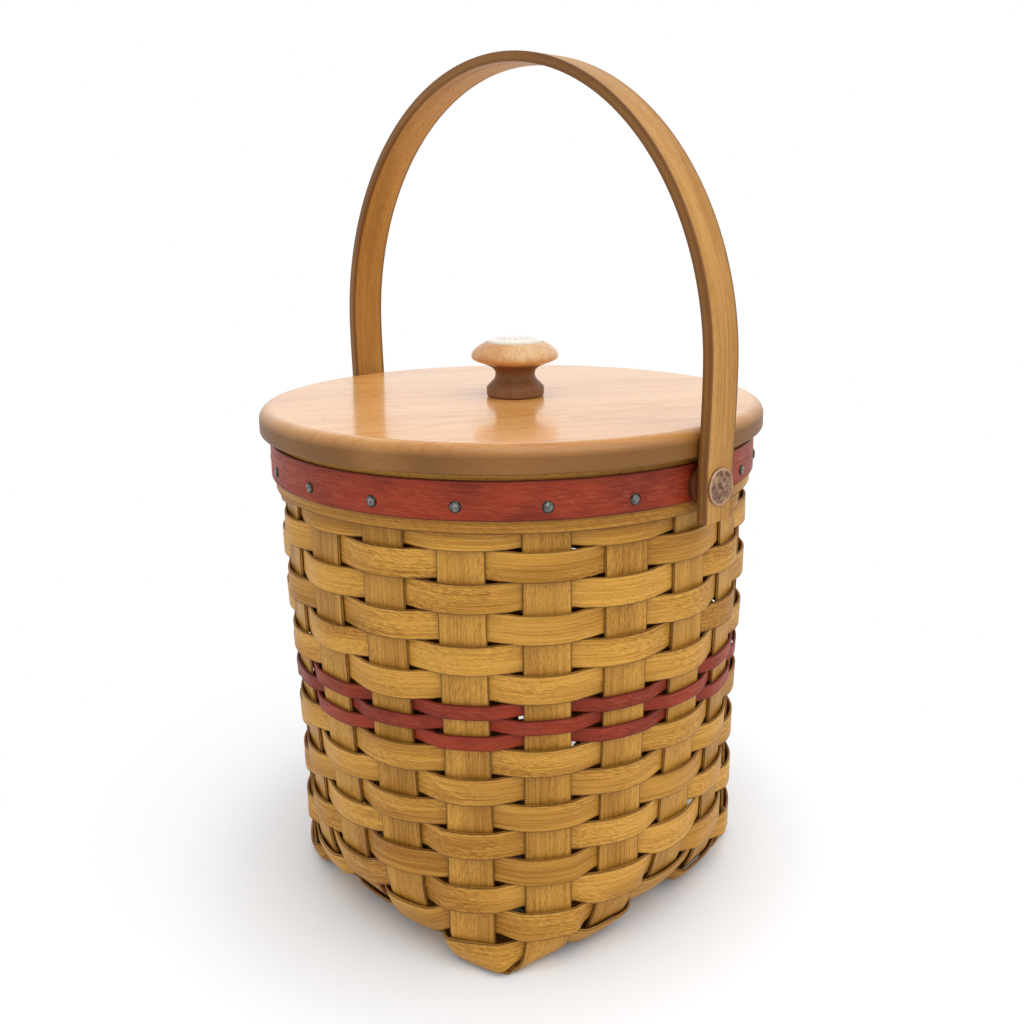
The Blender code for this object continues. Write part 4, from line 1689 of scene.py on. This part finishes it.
@dataclass
class Rim:
    """The hoop, the two bands and the nails that close the top of the wall."""

    wall: Wall
    mill: StripMill
    hoop: Hoop = Hoop("inner_rim_hoop", 0.0988, 0.0028, 0.0204, top=0.2129, seam=118)
    band: Hoop = Hoop("outer_rim_band", 0.10688, 0.0014, 0.0234, top=0.2129, seam=152)
    accent: Hoop = Hoop(
        "accent_band", 0.1085, 0.0014, 0.0155, 0.2105, 135, RED_SPLINT, "red_splint", 0.00015
    )
    easing: float = 0.0004
    nail_height: float = 0.2003
    nail_radius: float = 0.0009
    nail_head: float = 0.0024
    nail_dome: float = 0.0009
    nail_length: float = 0.0088
    nail_seat: float = 0.0002
    nail_shares: tuple[tuple[float, float, float], ...] = (
        (0.0, 1.0, 0.0),
        (0.3, 0.96, 0.0),
        (0.55, 0.82, 0.1),
        (0.74, 0.62, 0.6),
        (0.9, 0.36, 1.0),
        (1.0, 0.08, 1.0),
    )
    nail_play: float = 0.00006
    seam_gap: float = 0.0003
    stations: int = 240

    def guide(self, hoop: Hoop) -> Guide:
        """Path of a hoop or band, from one of its ends round to the other.

        Args:
            hoop: its sizes.

        Returns:
            The guide.
        """
        guide = Guide()
        radius, half = hoop.inner + hoop.thickness / 2, hoop.width / 2
        opening = self.seam_gap / radius
        wander = drift(hoop.node, FULL_TURN)
        for station in range(self.stations + 1):
            share = station / self.stations
            angle = math.radians(hoop.seam) + opening / 2 + (FULL_TURN - opening) * share
            level = hoop.top - half + hoop.play * wander(FULL_TURN * share)
            middle = Vector((radius * math.cos(angle), radius * math.sin(angle), level))
            guide.add(middle, Vector((0.0, 0.0, half)), crest=1.0)
        return guide

    def nail(self) -> bpy.types.Object:
        """One nail, pointing up, with its head's seat at the origin.

        Returns:
            The nail.
        """
        head, dome, shank = self.nail_head, self.nail_dome, self.nail_radius
        profile = [(head * out, dome * up, dark) for out, up, dark in self.nail_shares]
        profile += [(head, -self.nail_seat, 1.0), (shank, -self.nail_seat, 1.0)]
        profile += [(shank, shank - self.nail_length, 1.0), (0.0, -self.nail_length, 1.0)]
        return turned("nail", profile, STEEL, facets=20)

    def build(self) -> None:
        """Makes, dresses and fits the hoop, the bands and the nails."""
        for hoop in (self.hoop, self.band, self.accent):
            section = Section(hoop.width, hoop.thickness, self.easing)
            made = self.mill.strip(f"{hoop.node}_bent", self.guide(hoop), section, hoop.finish)
            fit(made, Body.BASKET, hoop.slot, hoop.node)
        places, seat = self.wall.uprights, self.accent.face
        nails = NailRing().nails(self.nail(), places, seat, self.nail_height, self.nail_play)
        nodes = [f"rim_nail_{number:02d}" for number in range(1, places - 1)]
        fit(nails, Body.BASKET, "steel", *nodes)


@dataclass
class Lid:
    """The turned lid board with its knob, inlay and screw."""

    bottom: float = 0.2132
    top: float = 0.2247
    radius: float = 0.11395
    top_rounding: float = 0.005
    bottom_rounding: float = 0.0018
    top_shares: tuple[float, ...] = (0.2, 0.4, 0.6, 0.8, 0.93, 0.99)
    rounding_steps: int = 10
    # Tone at the top of the rounding, which grows to full at the side: staining, with painted shade
    # where the rim turns from the light.
    rounding_staining_and_shade: float = 0.15
    plug_radius: float = 0.0978
    plug_depth: float = 0.005
    plug_easing: float = 0.0006
    plug_shares: tuple[float, ...] = (0.8, 0.5, 0.2)
    plug_edge_tone: float = 0.6
    plug_tone: float = 0.2
    screw_hole: float = 0.0023
    screw_radius: float = 0.002
    screw_head: float = 0.0042
    screw_head_depth: float = 0.0022
    screw_easing: float = 0.0003
    screw_point: float = 0.003
    screw_reach: float = 0.0135
    clearance: float = 0.0003
    knob_top: float = 0.0248
    inlay_radius: float = 0.0127
    inlay_recess: float = 0.0012
    inlay_edge: float = 0.0009
    inlay_dome: float = 0.0018
    knob_outline: tuple[Point, ...] = (
        (0.0134, 0.0248),
        (0.0145, 0.0243),
        (0.0172, 0.0226),
        (0.0193, 0.0206),
        (0.02, 0.0188),
        (0.0196, 0.0174),
        (0.0178, 0.0162),
        (0.0136, 0.0146),
        (0.011, 0.0133),
        (0.0095, 0.0118),
        (0.0091, 0.0098),
        (0.0098, 0.0078),
        (0.0115, 0.006),
        (0.0127, 0.0047),
        (0.0132, 0.0039),
        (0.0132, 0.0009),
        (0.0128, 0.0),
    )
    knob_steps: int = 5
    # Painted shade under the knob's head: inside this radius and below this height, the knob takes
    # its edge colour.
    painted_shade_radius: float = 0.0175
    painted_shade_fade: float = 0.0045
    painted_shade_top: float = 0.0175
    painted_shade_tone: float = 0.8
    inlay_steps: int = 10
    inlay_easing: float = 0.0001

    def board(self) -> bpy.types.Object:
        """The board, with its plug below.

        Returns:
            The piece.
        """
        over, under, ease = self.top_rounding, self.bottom_rounding, self.plug_easing
        hole, recess = self.screw_hole, self.screw_head + self.clearance
        plug, plug_low = self.plug_radius, self.bottom - self.plug_depth
        recess_top = plug_low + self.screw_head_depth + self.clearance
        flat = self.radius - over
        profile: list[tuple[float, ...]] = [(hole, self.top, 0.0)]
        profile += [(flat * share, self.top, 0.0) for share in self.top_shares]
        rim = arc((flat, self.top - over), over, 90, 0, self.rounding_steps)
        # Painted shade with the staining: the rounding takes more of the edge colour as it turns
        # down to the side.
        for step, (x, z) in enumerate(rim):
            staining_and_shade_rise = (1 - self.rounding_staining_and_shade) * step / self.rounding_steps
            profile.append((x, z, self.rounding_staining_and_shade + staining_and_shade_rise))
        foot = arc((self.radius - under, self.bottom + under), under, 0, -90, 5)
        profile += [(x, z, 1.0) for x, z in foot]
        plug_edge = arc((plug - ease, plug_low + ease), ease, 0, -90, 3)
        profile += [(x, z, self.plug_edge_tone) for x, z in [(plug, self.bottom), *plug_edge]]
        below = [(plug * share, plug_low) for share in self.plug_shares]
        below += [(recess, plug_low), (recess, recess_top), (hole, recess_top)]
        profile += [(x, z, self.plug_tone) for x, z in below]
        return turned("lid_board_turned", profile, LID_WOOD, facets=192, bored=True)

    def knob(self) -> bpy.types.Object:
        """The knob, with the inlay's recess and the screw's bore.

        Returns:
            The piece.
        """
        seat, hole = self.top + self.clearance, self.screw_hole
        recess = self.inlay_radius + self.clearance
        floor = seat + self.knob_top - self.inlay_recess
        bore_top = seat + self.screw_reach + self.clearance
        profile = [(0.0, floor), (recess, floor), (recess, seat + self.knob_top, 0.2)]
        for radius, height in fine_curve(self.knob_outline, self.knob_steps):
            # Painted shade: the underside of the head, the neck and the base take the edge colour.
            painted_shade = smooth_step((self.painted_shade_radius - radius) / self.painted_shade_fade)
            painted_shade *= height < self.painted_shade_top
            profile.append((radius, seat + height, self.painted_shade_tone * painted_shade))
        profile += [(hole, seat), (hole, bore_top), (0.0, bore_top)]
        return turned("lid_knob_turned", profile, KNOB_WOOD)

    def inlay(self) -> bpy.types.Object:
        """The domed ceramic disc in the knob's top.

        Returns:
            The piece.
        """
        radius, ease = self.inlay_radius, self.inlay_easing
        floor = self.top + self.clearance + self.knob_top - self.inlay_recess + self.clearance
        rim = floor + self.inlay_recess - self.clearance + self.inlay_edge
        shares = [step / self.inlay_steps for step in range(self.inlay_steps)]
        profile = [(radius * share, rim + self.inlay_dome * (1 - share**2)) for share in shares]
        profile += [(radius - ease, rim + ease), (radius, rim - ease)]
        profile += [(radius, floor), (0.0, floor)]
        return turned("knob_inlay_glazed", profile, GLAZE)

    def screw(self) -> bpy.types.Object:
        """The screw, whose head shows under the lid.

        Returns:
            The piece.
        """
        low, ease = self.bottom - self.plug_depth, self.screw_easing
        shank, head = self.screw_radius, self.screw_head
        shank_top = self.top + self.clearance + self.screw_reach
        profile = [(0.0, shank_top), (shank, shank_top - self.screw_point)]
        profile += [(shank, low + self.screw_head_depth), (head, low + 2 * ease, 0.4)]
        profile += [(head, low + ease, 0.8), (head - ease, low, 0.8), (0.0, low)]
        return turned("knob_screw_turned", profile, STEEL, facets=32)

    def build(self) -> None:
        """Makes, dresses and fits the lid's pieces."""
        fit(self.board(), Body.LID, "lid_wood", "lid_board")
        fit(self.knob(), Body.LID, "knob_wood", "lid_knob")
        fit(self.inlay(), Body.LID, "ceramic", "knob_inlay")
        fit(self.screw(), Body.LID, "steel", "knob_screw")


@dataclass
class SwingHandle:
    """The bent handle strip with its rivets, spacer discs and washers."""

    mill: StripMill
    pivot_height: float = 0.2016
    width: float = 0.0175
    thickness: float = 0.0045
    edge: float = 0.0006
    # The handle's dark edges and side faces: staining, with painted shade on the sides turned from
    # the light.
    edge_staining_and_shade_reach: float = 0.0016
    side_tone: float = 0.75
    foot_outer: float = 0.11895
    tail: float = 0.0142
    straight: float = 0.009
    spread: float = 0.0015
    spring_height: float = 0.25
    top: float = 0.376
    seat_gap: float = 0.0003
    rivet_radius: float = 0.0024
    rivet_head: float = 0.0076
    rivet_head_thickness: float = 0.0016
    rivet_tail: float = 0.0037
    rivet_tail_thickness: float = 0.0014
    head_shares: tuple[tuple[float, float, float], ...] = (
        (0.0, 0.5, 0.0),
        (0.6, 0.46, 0.0),
        (0.86, 0.4, 0.1),
        (0.91, 0.48, 1.0),
        (0.96, 0.46, 1.0),
        (1.0, 0.28, 0.6),
        (1.0, 0.0, 0.0),
    )
    tail_shares: tuple[tuple[float, float, float], ...] = (
        (1.0, 0.0, 0.0),
        (1.0, 0.5, 0.5),
        (0.7, 0.9, 0.0),
        (0.0, 1.0, 0.0),
    )
    ring_easing: float = 0.0002
    ring_crown: float = 0.7
    ring_side_tone: float = 0.2
    spacer_radius: float = 0.0085
    washer_radius: float = 0.0052
    washer_thickness: float = 0.001
    band_face: float = 0.1099
    hoop_face: float = 0.0985
    leg_steps: int = 14
    arch_steps: int = 120

    @property
    def washer_face(self) -> float:
        """Distance of the washers' inner faces from the basket's axis."""
        return self.hoop_face - self.seat_gap - self.washer_thickness

    def guide(self) -> Guide:
        """Path of the strip's middle, from the right foot over to the left.

        Returns:
            The guide.
        """
        foot = self.foot_outer - self.thickness / 2
        wide = foot + self.spread
        start = self.pivot_height + self.straight
        leg = [(foot, self.pivot_height - self.tail), (foot, self.pivot_height)]
        for step in range(self.leg_steps):
            share = step / self.leg_steps
            x = foot + self.spread * math.sin(share * math.pi / 2)
            leg.append((x, start + (self.spring_height - start) * share))
        rise = self.top - self.thickness / 2 - self.spring_height
        arch = []
        for step in range(self.arch_steps + 1):
            angle = math.pi * step / self.arch_steps
            arch.append((wide * math.cos(angle), self.spring_height + rise * math.sin(angle)))
        guide = Guide()
        for x, z in leg + arch + [(-x, z) for x, z in reversed(leg)]:
            guide.add(Vector((x, 0.0, z)), Vector((0.0, -self.width / 2, 0.0)), crest=1.0)
        return guide

    def rivet(self, name: str, angle: float) -> bpy.types.Object:
        """One rivet, its flat head outside and its tail over the washer.

        Args:
            name: the new piece's name.
            angle: its angle about the basket's axis.

        Returns:
            The piece.
        """
        seat = self.foot_outer + self.seat_gap
        tail = self.washer_face - self.seat_gap - seat
        head, high = self.rivet_head, self.rivet_head_thickness
        knot, deep = self.rivet_tail, self.rivet_tail_thickness
        profile = [(head * out, high * up, dark) for out, up, dark in self.head_shares]
        profile += [(self.rivet_radius, 0.0, 0.0), (self.rivet_radius, tail, 0.0)]
        profile += [(knot * out, tail - deep * up, dark) for out, up, dark in self.tail_shares]
        made = turned(name, profile, COPPER, facets=64)
        lay_outwards(made, angle, seat, self.pivot_height)
        return made

    def ring(
        self, name: str, angle: float, near: float, far: float, radius: float, finish: Finish
    ) -> bpy.types.Object:
        """Flat ring on a rivet, with eased corners.

        Args:
            name: the new piece's name.
            angle: angle of its rivet.
            near: distance of its inner face from the basket's axis.
            far: distance of its outer face.
            radius: its radius.
            finish: its finish.

        Returns:
            The piece.
        """
        deep, hole, ease = far - near, self.rivet_radius + self.seat_gap, self.ring_easing
        profile = [(hole, deep, 0.0), (radius * self.ring_crown, deep, 0.0)]
        profile += [(radius - ease, deep, 1.0), (radius, deep - ease, 1.0)]
        profile += [(radius, deep / 2, self.ring_side_tone), (radius, ease, 1.0)]
        profile += [(radius - ease, 0.0, 1.0), (hole, 0.0, 0.0)]
        made = turned(name, profile, finish, facets=64, bored=True)
        lay_outwards(made, angle, near, self.pivot_height)
        return made

    def build(self) -> None:
        """Makes, dresses and fits the handle and its pivots."""
        section = Section(self.width, self.thickness, self.edge, self.edge_staining_and_shade_reach, self.side_tone)
        strip = self.mill.strip("swing_handle_bent", self.guide(), section, HANDLE_WOOD)
        fit(strip, Body.HANDLE, "handle_wood", "swing_handle")
        gap = self.seat_gap
        spacer_ends = (self.band_face + gap, self.foot_outer - self.thickness - gap)
        washer_ends = (self.washer_face, self.hoop_face - gap)
        rings = (
            ("spacer_disc", spacer_ends, self.spacer_radius, SPACER_WOOD, "knob_wood"),
            ("burr_washer", washer_ends, self.washer_radius, COPPER, "copper"),
        )
        for side, angle in (("right", 0.0), ("left", math.pi)):
            rivet = self.rivet(f"handle_rivet_{side}_turned", angle)
            fit(rivet, Body.BASKET, "copper", f"handle_rivet_{side}")
            for kind, ends, radius, finish, slot in rings:
                made = self.ring(f"{kind}_{side}_turned", angle, *ends, radius, finish)
                fit(made, Body.BASKET, slot, f"{kind}_{side}")


@dataclass
class Studio:
    """Plain pale floor, plain soft light and the camera."""

    eye: Place = (0.366947, -0.330661, 0.303624)
    right: Place = (0.72749499, 0.68611237, 0.00092807)
    up: Place = (-0.13093072, 0.1374997, 0.98181005)
    forward: Place = (-0.67350441, 0.7143834, -0.18986353)
    lens: float = 37.737
    sensor: float = 36.0
    shift: Point = (-0.0879, -0.0801)
    clip: Point = (0.01, 50.0)
    sky_level: float = 0.82
    key_place: Place = (0.6, -0.1, 1.15)
    key_aim: Place = (0.0, 0.0, 0.15)
    key_size: float = 1.5
    key_power: float = 8.5
    floor_half: float = 4.0
    floor_shade: Shade = (242, 245, 248)
    floor_glow: float = 0.14
    # Painted shadow: the camera's glow is held back within this radius and fades in by the next.
    painted_shadow_fade_start: float = 0.09
    painted_shadow_fade_end: float = 0.17
    fade_start: float = 0.13
    fade_end: float = 0.28

    def camera(self) -> None:
        """Sets up the camera."""
        data = bpy.data.cameras.new("camera")
        data.lens, data.sensor_width = self.lens, self.sensor
        data.shift_x, data.shift_y = self.shift
        data.clip_start, data.clip_end = self.clip
        made = link(bpy.data.objects.new("camera", data))
        backward = -Vector(self.forward)
        turn = Matrix((self.right, self.up, backward)).transposed().to_4x4()
        made.matrix_world = Matrix.Translation(self.eye) @ turn
        bpy.context.scene.camera = made

    def light(self) -> None:
        """Sets up the soft key light and the sky."""
        data = bpy.data.lights.new("key", "AREA")
        data.energy, data.size = self.key_power, self.key_size
        made = link(bpy.data.objects.new("key", data))
        made.location = self.key_place
        aim = Vector(self.key_aim) - Vector(self.key_place)
        made.rotation_euler = aim.to_track_quat("-Z", "Y").to_euler()

        world = bpy.data.worlds.new("sky")
        bpy.context.scene.world = world
        world.use_nodes = True
        bench = Bench(world.node_tree)
        world.node_tree.nodes.clear()
        seen = self.seen(bench)
        lit = bench.add("ShaderNodeBackground", {"Color": WHITE, "Strength": self.sky_level})
        white = bench.add("ShaderNodeBackground", {"Color": WHITE, "Strength": 1.0})
        both = bench.add("ShaderNodeMixShader", {0: seen, 1: lit.outputs[0], 2: white.outputs[0]})
        bench.add("ShaderNodeOutputWorld", {0: both.outputs[0]})

    def seen(self, bench: Bench) -> Socket:
        """Share that is 1 for rays of the camera, of gloss and through glass.

        Args:
            bench: the tree that reads it.

        Returns:
            The share's socket.
        """
        path = bench.add("ShaderNodeLightPath").outputs
        gloss = bench.maths("MAXIMUM", path["Is Glossy Ray"], path["Is Transmission Ray"])
        return bench.maths("MAXIMUM", path["Is Camera Ray"], gloss)

    def floor(self) -> None:
        """Lays the floor: pale, with the basket's shadow, a glow for the camera that is held back
        under the basket as a painted shadow, and white far away.
        """
        half = self.floor_half
        mesh = bpy.data.meshes.new("floor")
        corners = [(-half, -half, 0), (half, -half, 0), (half, half, 0), (-half, half, 0)]
        mesh.from_pydata(corners, [], [range(len(corners))])
        made = link(bpy.data.objects.new("floor", mesh))
        material = bpy.data.materials.new("floor")
        material.use_nodes = True
        material.node_tree.nodes.clear()
        bench = Bench(material.node_tree)
        place = bench.add("ShaderNodeTexCoord").outputs["Object"]
        away = bench.add("ShaderNodeVectorMath", {0: place}, operation="LENGTH").outputs["Value"]
        fade, clear = (
            bench.add("ShaderNodeMapRange", {0: away, 1: start, 2: end}).outputs[0]
            for start, end in ((self.fade_start, self.fade_end), (self.painted_shadow_fade_start, self.painted_shadow_fade_end))
        )
        white = bench.add("ShaderNodeEmission", {"Color": WHITE, "Strength": 1.0})
        paper = bench.add("ShaderNodeBsdfDiffuse", {"Color": tint(self.floor_shade)})
        # Painted shadow: no glow under the basket, so the floor seen there stays dark.
        glow_level = bench.maths("MULTIPLY", clear, self.floor_glow)
        glow = bench.add("ShaderNodeEmission", {"Color": WHITE, "Strength": glow_level})
        near = bench.add("ShaderNodeAddShader", {0: paper.outputs[0], 1: glow.outputs[0]})
        shown = bench.add("ShaderNodeMixShader", {0: fade, 1: near.outputs[0], 2: white.outputs[0]})
        seen = self.seen(bench)
        both = bench.add("ShaderNodeMixShader", {0: seen, 1: paper.outputs[0], 2: shown.outputs[0]})
        bench.add("ShaderNodeOutputMaterial", {0: both.outputs[0]})
        mesh.materials.append(material)

    def build(self) -> None:
        """Sets up the camera, the light and the floor."""
        self.camera()
        self.light()
        self.floor()
        bpy.context.scene.view_settings.view_transform = "Standard"


def main() -> None:
    """Builds the basket in the order it is made in, then the studio."""
    logging.basicConfig(level=logging.INFO, format="%(name)s: %(message)s")
    wall, mill = Wall(), StripMill()
    Stakes(wall, mill).build()
    Weave(wall, mill).build()
    Rim(wall, mill).build()
    Lid().build()
    SwingHandle(mill).build()
    Studio().build()


if __name__ == "__main__":
    main()
